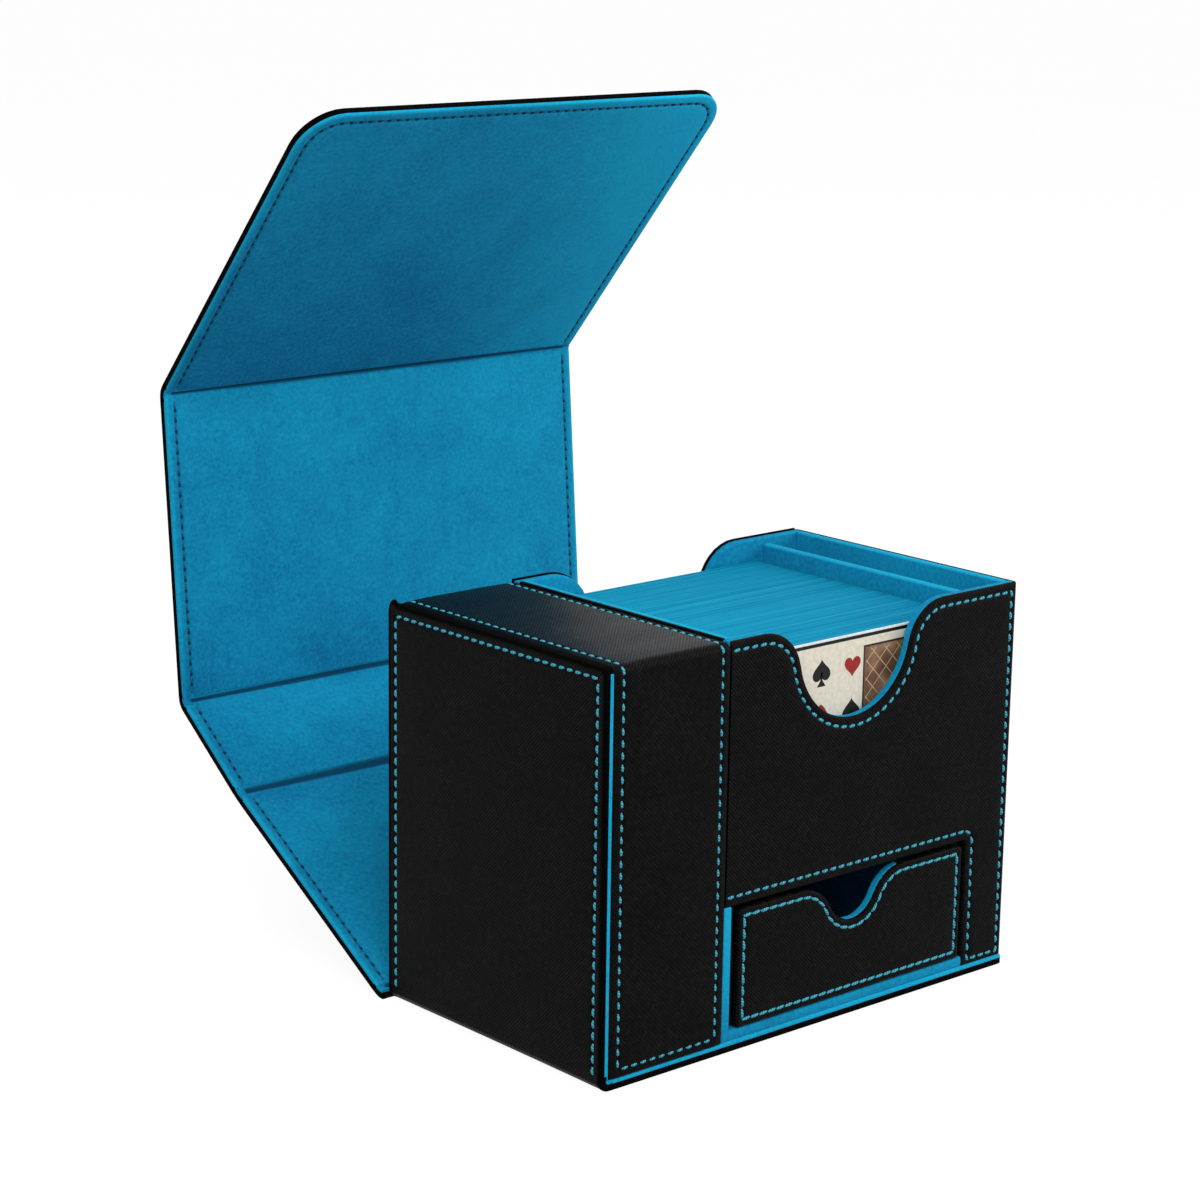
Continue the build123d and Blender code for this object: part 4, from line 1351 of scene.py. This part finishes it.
# %% Seam round the front wall
def sew_outline(name, corners, place, body, open_x=None, inset=seam_inset, length=stitch_length):
    """A seam along the ring at the inset: closed, or open at both ends where it meets open_x."""
    path = ring(corners, inset, corner_steps)
    if open_x is not None:
        path = path[path[:, 0] > open_x if path[0, 0] < open_x else path[:, 0] < open_x]
        path = np.concatenate([[[open_x, path[0, 1]]], path, [[open_x, path[-1, 1]]]])
    middles, directions = spaced(path, closed=open_x is None)
    spots = place.at(middles[:, 0], middles[:, 1], np.full(len(middles), seam_level))
    normals = np.broadcast_to(place.out, spots.shape)
    rows = [spots, place.way(directions), normals]
    add_seam(name, *rows, body, blue_thread, "black_leather", length=length)
    print(name, "has", len(middles), "stitches")


seam_end = 0.4  # how far an open seam stays away from the sheet's hidden edge
sew_outline("well_front_thread", front_corners, front_place, "box", open_x=front_low[0] + seam_end)

# %% Back wall
back_low, back_high = solid("well_back_leather")
back_place = Place([0, back_low[1], 0], -X, Z)
back_notch_radius = 24.3
back_notch = notch_corners(-well_middle, box_top, back_notch_radius, notch_depth, notch_lip)
back_corners = [
    [-back_low[0] + run_on, box_top, 0.1],
    *back_notch,
    [-back_high[0], box_top, 1.2],
    [-back_high[0], back_low[2] - hem, 1.0],
    [-back_low[0] + run_on, back_low[2] - hem, 0.1],
]
back_clip = ([-back_high[0] + corner_bend, back_low[2]], [-back_low[0], above_all])
# the back wall's leather stands a little above its lining, as a black line behind the blue one
back_stand = 0.5
back_profile = [(inset - back_stand * (inset < 1), height) for inset, height in leather_profile]
back_lined_low, back_lined_high = solid("well_back_lining")
back_lined = [
    [-back_lined_high[0], back_lined_low[2], 0.3],
    [-back_lined_low[0], back_lined_low[2], 0.3],
    [-back_lined_low[0], box_top, 0.3],
    *back_notch,
    [-back_lined_high[0], box_top, 0.3],
]
add_wall("back", back_corners, back_profile, back_clip, back_lined, back_place)
sew_outline("well_back_thread", back_corners, back_place, "box", open_x=-back_low[0] - seam_end)

# %% [markdown]
# The leather turns round the box's two right corners, so the right wall's sheet is carried along a
# path seen from above: a little of the front, a round corner, the side, a round corner and a little
# of the back. Its ends lie flush with the front and back sheets.

# %% Right wall
right_low, right_high = solid("well_right_leather")
edge_x, front_y, back_y = right_high[0], front_low[1], back_high[1]
corner_x, overlap = edge_x - corner_bend, 0.05
corner_front, corner_back = front_y + corner_bend, back_y - corner_bend
corner_lines = [0, 0.5, 0.8, 1.1, 1.4, 1.7, 2.4, 4, 7]
side_lines = graded(corner_front, corner_back, corner_lines, corner_lines, 8)
wall_path = np.concatenate(
    [
        [[corner_x - overlap, front_y], [corner_x, front_y]],
        arc([corner_x, corner_front], corner_bend, -90, 0, 7)[1:-1],
        np.stack([np.full(len(side_lines), edge_x), side_lines], -1),
        arc([corner_x, corner_back], corner_bend, 0, 90, 7)[1:-1],
        [[corner_x, back_y], [corner_x - overlap, back_y]],
    ]
)
wall_path = np.insert(wall_path, 2, 0.0, axis=1)
foot_lines = [0, 0.3, 0.9, 1.2, 1.5, 1.8, 2.4, 4, 8]
head_lines = [0, 0.06, 0.2, 0.5, 1.7, 2.2, 2.45, 2.7, 2.95, 3.2, 3.8, 6]
wall_z = graded(right_low[2], box_top, foot_lines, head_lines, 8)
path_y, path_z = np.meshgrid(wall_path[:, 1], wall_z, indexing="ij")
from_corner = np.minimum(path_y - front_y, back_y - path_y)
from_top, from_floor = box_top - path_z, path_z - right_low[2] + hem
side_nearest = np.minimum(np.minimum(from_corner, from_top), from_floor)
side_groove, groove_width, side_swell = 0.26, 0.35, 0.12
wall_height = -edge_drop(from_top, 0.45)
wall_height -= sewn_groove(side_nearest, seam_inset, side_groove, groove_width)
wall_height += side_swell * ease((side_nearest - seam_inset) / 5)
base, normal, wall_run = sweep(wall_path, wall_z, Z)
rows = [base, normal, np.full(wall_height.shape, -0.88), wall_height, flat_grid(wall_run, wall_z)]
add_shell("well_right_sheet", *rows, body="box", stands_for=("well_right_leather",), **in_leather)
right_place = Place([edge_x - leather_thickness, 0, 0], Y, Z)
right_corners = [
    [front_y, right_low[2] - hem, 1.0],
    [back_y, right_low[2] - hem, 1.0],
    [back_y, box_top, 1.2],
    [front_y, box_top, 1.2],
]
sew_outline("well_right_thread", right_corners, right_place, "box")

# %% [markdown]
# Inside, the boards that stand from front to back are plain rectangles wrapped in suede: the divider
# between bin and cards, the partition and the right wall's lining. The divider's left face is leather,
# and its front end shows beside the drawer.


# %% Lined boards inside the box
def add_lined_wall(name, x_range, low, high, stands_for=(), soft=0.7, kind=in_suede):
    """A wrapped board that stands front to back, between its lowest and highest Y and Z."""
    profile = wrapped_profile(x_range[1] - x_range[0], soft, soft)
    place = Place([x_range[1], 0, 0], Y, Z)
    rows = [rectangle(low, high, 0.35), profile, place]
    wall = add_rimmed(name, *rows, steps=4, body="box", stands_for=stands_for, **kind)
    # a painted highlight lightens the nap along the top edge
    height = np.array([corner.co[2] for corner in wall.data.vertices]) / MM
    mark(wall, "brushed", 0.22 * ease((height - high[1] + 1.0) / 0.8))


left_low, left_high = solid("well_left_lining")
black_low, black_high = solid("well_left_leather")
part_low, part_high = solid("partition_lining")
slot_low, slot_high = solid("well_right_lining")
well_front, well_back = part_low[1], part_high[1]
divider_top = box_top + 0.25
nib_front, nib_foot = left_low[1] - 0.1, left_low[2] - 2.95
walls = [
    ("divider_suede", (black_high[0] + 0.05, left_high[0]), (well_front, left_low[2]),
     (well_back, divider_top), ("well_left_board", "well_left_lining"), 0.7, in_suede),
    # the divider's front end shows beside the drawer, down to the cover
    ("divider_front_suede", (left_low[0], left_high[0] - 0.25), (nib_front, nib_foot),
     (well_front, window_top), (), 0.4, in_suede),
    # the leather reaches 0.3 over the board's top; this black band is partly painted shade, standing for the
    # dark gap beside the bin's strip
    ("divider_leather", (black_low[0], black_high[0] + 0.3), (black_low[1], black_low[2]),
     (black_high[1], divider_top), ("well_left_leather",), 0.3, in_leather),
    ("partition_suede", (part_low[0], part_high[0]), (well_front, part_low[2]),
     (well_back, part_high[2]), ("partition_board", "partition_lining"), 0.7, in_suede),
    ("right_wall_suede", (slot_low[0], slot_high[0]), (well_front, slot_low[2]),
     (well_back, box_top), ("well_right_board", "well_right_lining"), 0.7, in_suede),
]
for wall in walls:
    add_lined_wall(*wall)
print("lined boards:", [wall[0] for wall in walls])

# %% [markdown]
# ## The base
# The base board's suede is turned down over its front edge, where the drawer's window shows it as a
# blue band above the cover's own blue edge. The strip is carried from the back to the front and down.

# %% Base lining
base_low, base_high = solid("base_lining")
band_bend = 0.8
front_edge, band_top = base_low[1], base_high[2]
band_centre = [front_edge + band_bend, band_top - band_bend]
over_board = [[base_high[1], band_top], [0.0, band_top], [front_edge + band_bend, band_top]]
down_front = [[front_edge, band_top - band_bend], [front_edge, base_low[2] + 0.45]]
under_edge = [[front_edge + 0.12, base_low[2] + 0.15], [front_edge + 0.4, base_low[2] + 0.02]]
round_front = arc(band_centre, band_bend, 90, 180, 6)[1:-1]
band = np.concatenate([over_board, round_front, down_front, under_edge])
base, normal, _ = sweep(np.insert(band, 0, 0.0, axis=1), np.linspace(left_low[0], window_right, 12), X)
shape = base.shape[:2]
rows = [base, normal, np.full(shape, -0.45), np.zeros(shape), base[..., :2]]
add_shell("base_band_suede", *rows, body="box", stands_for=("base_lining",), **in_suede)
bin_floor = rectangle([base_low[0], board_front], [left_low[0], -board_front], 0.3)
floor_profile = [(0, -0.5), (0, -0.15), (0.15, 0.0)]
floor_place = Place([0, 0, band_top], X, Y)
add_rimmed("bin_floor_suede", bin_floor, floor_profile, floor_place, steps=3, body="box", **in_suede)
print("base lining at", round(band_top, 2))

# %% [markdown]
# ## The drawer
# The drawer's front is a small wall of its own: leather with a finger notch, over a board wrapped in
# leather and lined with suede, whose blue shows as a rim inside the notch. It is sewn with longer
# stitches than the rest, which nearly meet.

# %% Drawer front
drawer_low, drawer_high = solid("drawer_front_leather")
finger_radius, finger_depth, finger_lip = 10.0, 12.7, 13.0
finger_notch = notch_corners(well_middle, drawer_high[2], finger_radius, finger_depth, finger_lip)
bottom_left, bottom_right, top_right, top_left = rectangle(
    drawer_low[[0, 2]], drawer_high[[0, 2]], 1.2
)
drawer_corners = [bottom_left, bottom_right, top_right, *finger_notch, top_left]
drawer_place = Place([0, drawer_high[1], 0], X, Z)
drawer_seam = 2.1
drawer_profile = [(0, 0.0), (0, 0.4), (0.06, 0.6), (0.2, 0.78), (0.45, 0.9), (1.2, face_level)]
drawer_profile += [(1.65, 0.84), (1.9, 0.7), (drawer_seam, groove_floor), (2.3, 0.7), (2.6, 0.84), (3.2, 0.95)]
drawer_profile += [(5.0, 1.02)]
board_depth = solid("drawer_front_board")[1][1] - drawer_high[1]
lining_depth = solid("drawer_front_lining")[1][1] - drawer_high[1]
lining_profile = [(0.6, -lining_depth), (0.3, 0.1 - lining_depth), (0.2, 0.3 - lining_depth)]
lining_profile += [(0.2, -board_depth)]
for name, profile, layer, kind in (
    ("sheet", drawer_profile, "leather", in_leather),
    ("board_leather", wrapped_profile(board_depth, 0.3, 0.2), "board", in_leather),
    ("back_suede", lining_profile, "lining", in_suede),
):
    rows = [f"drawer_front_{name}", drawer_corners, profile, drawer_place]
    add_rimmed(*rows, body="drawer", stands_for=(f"drawer_front_{layer}",), **kind)
# the notch's points are those of the corners after the drawer front's first three, and the blue rim
# goes down from the right lip to the bottom
notch_steps = np.arange(3 * corner_steps, (3 + len(finger_notch)) * corner_steps)
ring_x = ring(drawer_corners, 0.0, corner_steps)[notch_steps, 0]
notch_steps = notch_steps[ring_x > well_middle - 4]
notch_rim = {"steps": notch_steps, "deep": (-0.05, -lining_depth), "height": 0.15, "ends": 3.0}
add_edging("finger_notch_suede", drawer_corners, drawer_place, **notch_rim, body="drawer", **in_suede)
drawer_seam_kind = {"inset": drawer_seam, "length": 3.0}
sew_outline("drawer_thread", drawer_corners, drawer_place, "drawer", **drawer_seam_kind)

# %% [markdown]
# ## The cards
# The cards stand in blue sleeves, and no two are quite level. Each sleeve is a thin rounded plate with
# its own small shift, tilt and tone, which gives the deck's top its fine uneven lines. The chance
# numbers come from a fixed seed, so every run gives the same deck.

# %% Sleeved cards
deck_low, deck_high = solid("card_deck")
card_low, card_high = solid("front_card")
sleeve_pitch = card_high[1] - card_low[1]
sleeve_count = int(round((deck_high[1] - deck_low[1]) / sleeve_pitch))
chance = np.random.default_rng(11)
sleeve = rectangle(card_low[[0, 2]], card_high[[0, 2]], 2.5)
sleeve_profile = [(0.3, 0.05), (0.08, 0.12), (0.0, 0.3), (0.0, 0.55), (0.08, 0.74), (0.3, 0.8)]
profile_pitch = 0.83  # the pitch of sleeves for which that profile is drawn
rings = np.stack([ring(sleeve, inset, 4) for inset, _ in sleeve_profile])
count, size = rings.shape[:2]
depth = np.array([height for _, height in sleeve_profile])[:, None] * sleeve_pitch / profile_pitch
number = np.arange(sleeve_count)
shift_x = chance.normal(0, 0.1, sleeve_count)
shift_z = -0.16 * chance.random(sleeve_count)
roll = chance.normal(0, 0.0006, sleeve_count)
from_middle = rings[..., 0] - well_middle
points = np.zeros((sleeve_count, count, size, 3))
points[..., 0] = rings[None, ..., 0] + shift_x[:, None, None]
points[..., 2] = rings[None, ..., 1] + shift_z[:, None, None] + roll[:, None, None] * from_middle
points[..., 1] = deck_low[1] + (number * sleeve_pitch)[:, None, None] + (sleeve_pitch - depth)
faces = copied(ring_faces(count, size), sleeve_count, count * size)
print("sleeves:", sleeve_count)

# %% Finish of the sleeves
sleeves, tree, shader = new_material("card sleeves")
along_edges = {"Place": own_place(tree), "Stretch": (1.6, 50, 1.0), "Scale": 40}
streaks = pattern(tree, streaky, along_edges)["Streak"]
mixed = plus(tree, times(tree, read_mark(tree, "tone"), 0.6), times(tree, streaks, 0.4))
blues = [(0.25, linear(5, 110, 148)), (0.5, linear(10, 138, 176)), (0.75, linear(24, 158, 194))]
rough = plus(tree, 0.5, times(tree, streaks, 0.2))
set_inputs(shader, {"Base Color": ramp(tree, mixed, blues), "Roughness": rough})
set_inputs(shader, {"Specular IOR Level": 0.03})
deck_kind = {"stands_for": ("card_deck",), "smooth": 50}
deck = add_piece("sleeved_cards", points, faces, "deck", sleeves, "card_sleeves", **deck_kind)
tone = np.clip(0.5 + 0.1 * chance.standard_normal(sleeve_count), 0, 1)
# the sleeves catch more light towards the left
to_left = ease((well_middle - points[..., 0]) / 45)
mark(deck, "tone", np.repeat(tone, count * size) + 0.3 * to_left.ravel())
print("tones from", round(tone.min(), 2), "to", round(tone.max(), 2))

# %% [markdown]
# The front card faces out through the notch. It is printed with a plain pattern of its own: a black
# border, a cream field with spades, hearts and diamonds, and a brown panel with a lattice. The border,
# the field and the panel are one material, because they are flat ink; the pips are thin raised
# shapes, because their outlines need clean curves.

# %% Front card
card_material, tree, shader = new_material("card face")
across, up, _ = parts_of(tree, flat_place(tree))
card_width, card_height = (card_high - card_low)[[0, 2]] * MM


def within(low, high, value):
    """1 where a value lies between two numbers."""
    above = maths(tree, "GREATER_THAN", value, low)
    return times(tree, above, maths(tree, "LESS_THAN", value, high))


def field(left, margin):
    """1 on the card from a left edge to within the margin of its other three edges."""
    sideways = within(left, card_width - margin, across)
    return times(tree, sideways, within(margin, card_height - margin, up))


def ridged(operation):
    """0 along one set of the lattice's diagonal lines, and 1 midway between two of them."""
    phase = times(tree, maths(tree, operation, across, up), pi / lattice_pitch)
    return maths(tree, "ABSOLUTE", maths(tree, "SINE", phase))


paper = noise(tree, own_place(tree), 700, detail=4)
blots = noise(tree, own_place(tree), 130, detail=5)
film = ramp(tree, paper, [(0.3, linear(205, 210, 212)), (0.7, linear(236, 239, 240))])
cream = ramp(tree, paper, [(0.3, linear(212, 205, 187)), (0.7, linear(230, 225, 210))])
browns = [(0.3, linear(74, 52, 40)), (0.5, linear(112, 82, 62)), (0.7, linear(158, 124, 96))]
panel_left, gold = 0.0505, linear(196, 168, 128)
lattice_pitch, line_share = 0.0052, 0.11
face = film
for left, margin, ink in (
    (0.0006, 0.0006, linear(6, 6, 6)),
    (0.0016, 0.0016, cream),
    (panel_left, 0.0040, linear(40, 30, 26)),
    (panel_left + 0.0006, 0.0046, ramp(tree, blots, browns)),
):
    face = paint(tree, field(left, margin), face, ink)
nearest_line = maths(tree, "MINIMUM", ridged("ADD"), ridged("SUBTRACT"))
lattice = maths(tree, "LESS_THAN", nearest_line, line_share)
face = paint(tree, times(tree, lattice, field(panel_left + 0.0012, 0.0052)), face, gold)
set_inputs(shader, {"Base Color": face, "Roughness": 0.5, "Specular IOR Level": 0.1})
set_inputs(shader, {"Coat Weight": 0.04, "Coat Roughness": 0.2})
bump(tree, shader, paper, 0.05, 0.0001)

card_corners = [[x - card_low[0], y - card_low[2], radius] for x, y, radius in sleeve]
card_profile = [(0.3, 0.03), (0.08, 0.12), (0.0, 0.3), (0.0, 0.52), (0.08, 0.7), (0.3, 0.78)]
card_place = Place([card_low[0], card_high[1], card_low[2]], X, Z)
card_kind = {"body": "deck", "stands_for": ("front_card",), "slot": "card_face"}
add_rimmed(
    "front_card_face", card_corners, card_profile, card_place, steps=5, material=card_material,
    **card_kind,
)
print("card of", round(card_width / MM, 1), "by", round(card_height / MM, 1))


# %% Pips
def pip(shape, size):
    """Outline of a traditional pip, about its middle, anticlockwise.

    The diamond has four slightly hollow sides. The heart is the curve x = 16 sin^3 t,
    y = 13 cos t - 5 cos 2t - 2 cos 3t - cos 4t, and the spade is that curve upside down with a foot.
    """
    t = np.linspace(0, 2 * pi, 40, endpoint=False)
    if shape == "diamond":
        x = np.sign(np.cos(t)) * np.abs(np.cos(t)) ** 1.5 * 0.8
        y = np.sign(np.sin(t)) * np.abs(np.sin(t)) ** 1.5
    else:
        x = np.sin(t) ** 3
        y = (13 * np.cos(t) - 5 * np.cos(2 * t) - 2 * np.cos(3 * t) - np.cos(4 * t)) / 16
        x, y = (x, -y) if shape == "spade" else (x[::-1], y[::-1])
    return np.stack([x, y], -1) * size / 2


spade_foot = [[-0.24, -0.6], [0.24, -0.6], [0.06, -0.35], [0.04, 0], [-0.04, 0], [-0.06, -0.35]]


def add_pips(name, rows, material):
    """Thin raised pips from rows of shape, x, y and size on the card."""
    outlines = []
    for shape, x, y, size in rows:
        outlines.append(pip(shape, size) + [x, y])
        if shape == "spade":
            outlines.append(np.array(spade_foot) * size + [x, y])
    points, faces, start = [], [], 0
    for outline in outlines:
        count = len(outline)
        for height in (0.70, 0.80):
            points.append(card_place.at(outline[:, 0], outline[:, 1], np.full(count, height)))
        quads, ends = ring_faces(2, count)
        faces += [quads + start, ends[1:] + start, ends[:1] + start]
        start += 2 * count
    add_piece(name, np.concatenate(points), faces, "deck", material, "card_face", smooth=30)


red_ink = board_material("red ink", linear(140, 26, 24), linear(168, 40, 34), 800, 0.5)
black_ink = board_material("black ink", linear(8, 8, 8), linear(16, 16, 16), 800, 0.7)
black_rows = [("spade", 34.0, 57.0, 7.0), ("spade", 46.2, 44.0, 7.0), ("spade", 12.0, 57.0, 7.0)]
red_rows = [("heart", 46.2, 57.0, 6.4), ("diamond", 34.0, 44.0, 7.4), ("heart", 22.0, 57.0, 6.4)]
black_rows += [("spade", 12.0, 30.0, 7.0), ("spade", 34.0, 16.0, 7.0)]
red_rows += [("diamond", 22.0, 16.0, 7.4), ("heart", 46.2, 16.0, 6.4), ("diamond", 12.0, 44.0, 7.4)]
add_pips("black_pips", black_rows, black_ink)
add_pips("red_pips", red_rows, red_ink)
print("pips:", len(black_rows), "black and", len(red_rows), "red")

# %% [markdown]
# ## What is left of the solids
# The drawer's own boards, the shelf and the base board have the right shape already, so they only
# get a finish. The magnets are sealed inside their boards.

# %% Finishes for the solids that still show
finish_of = {
    "black_leather": leather_material("plain black leather", flat_map=False),
    "blue_suede": blue_suede,
    "grey_board": grey_board,
    "drawer_board": black_paper,
    "magnet_steel": steel,
    "card_sleeves": sleeves,
    "card_face": card_material,
}
slot_of = {part["node"]: part["material_slot"] for part in frame["record"]["subparts"]}
shown = []
for name, item in frame["nodes"].items():
    item.data.materials.clear()
    # the base board shows only under the open bin, where its end is wrapped
    finish = blue_suede if name == "base_board" else finish_of[slot_of.get(name, "grey_board")]
    item.data.materials.append(finish)
    if not item.hide_render:
        shown.append(name)
print("solids still shown:", shown)

# %% [markdown]
# A mesh whose faces look inwards still renders, but it is wrong in the part's own file. The volume
# inside a closed piece tells: added up over its triangles, it comes out negative when they look in.

# %% Which way the faces look
def volume(piece):
    """Volume inside a closed piece: the sum of a . (b x c) / 6 over its triangles a, b, c."""
    mesh = piece.data
    mesh.calc_loop_triangles()
    points = np.empty(3 * len(mesh.vertices), np.float32)
    mesh.vertices.foreach_get("co", points)
    corners = np.empty(3 * len(mesh.loop_triangles), np.int32)
    mesh.loop_triangles.foreach_get("vertices", corners)
    a, b, c = points.reshape(-1, 3)[corners.reshape(-1, 3)].astype(float).transpose(1, 0, 2)
    return np.sum(a * np.cross(b, c)) / 6


print("pieces inside out:", [name for name in made if volume(bpy.data.objects[name]) <= 0])

# %% Sizes, and the end
print("pieces made:", len(made))
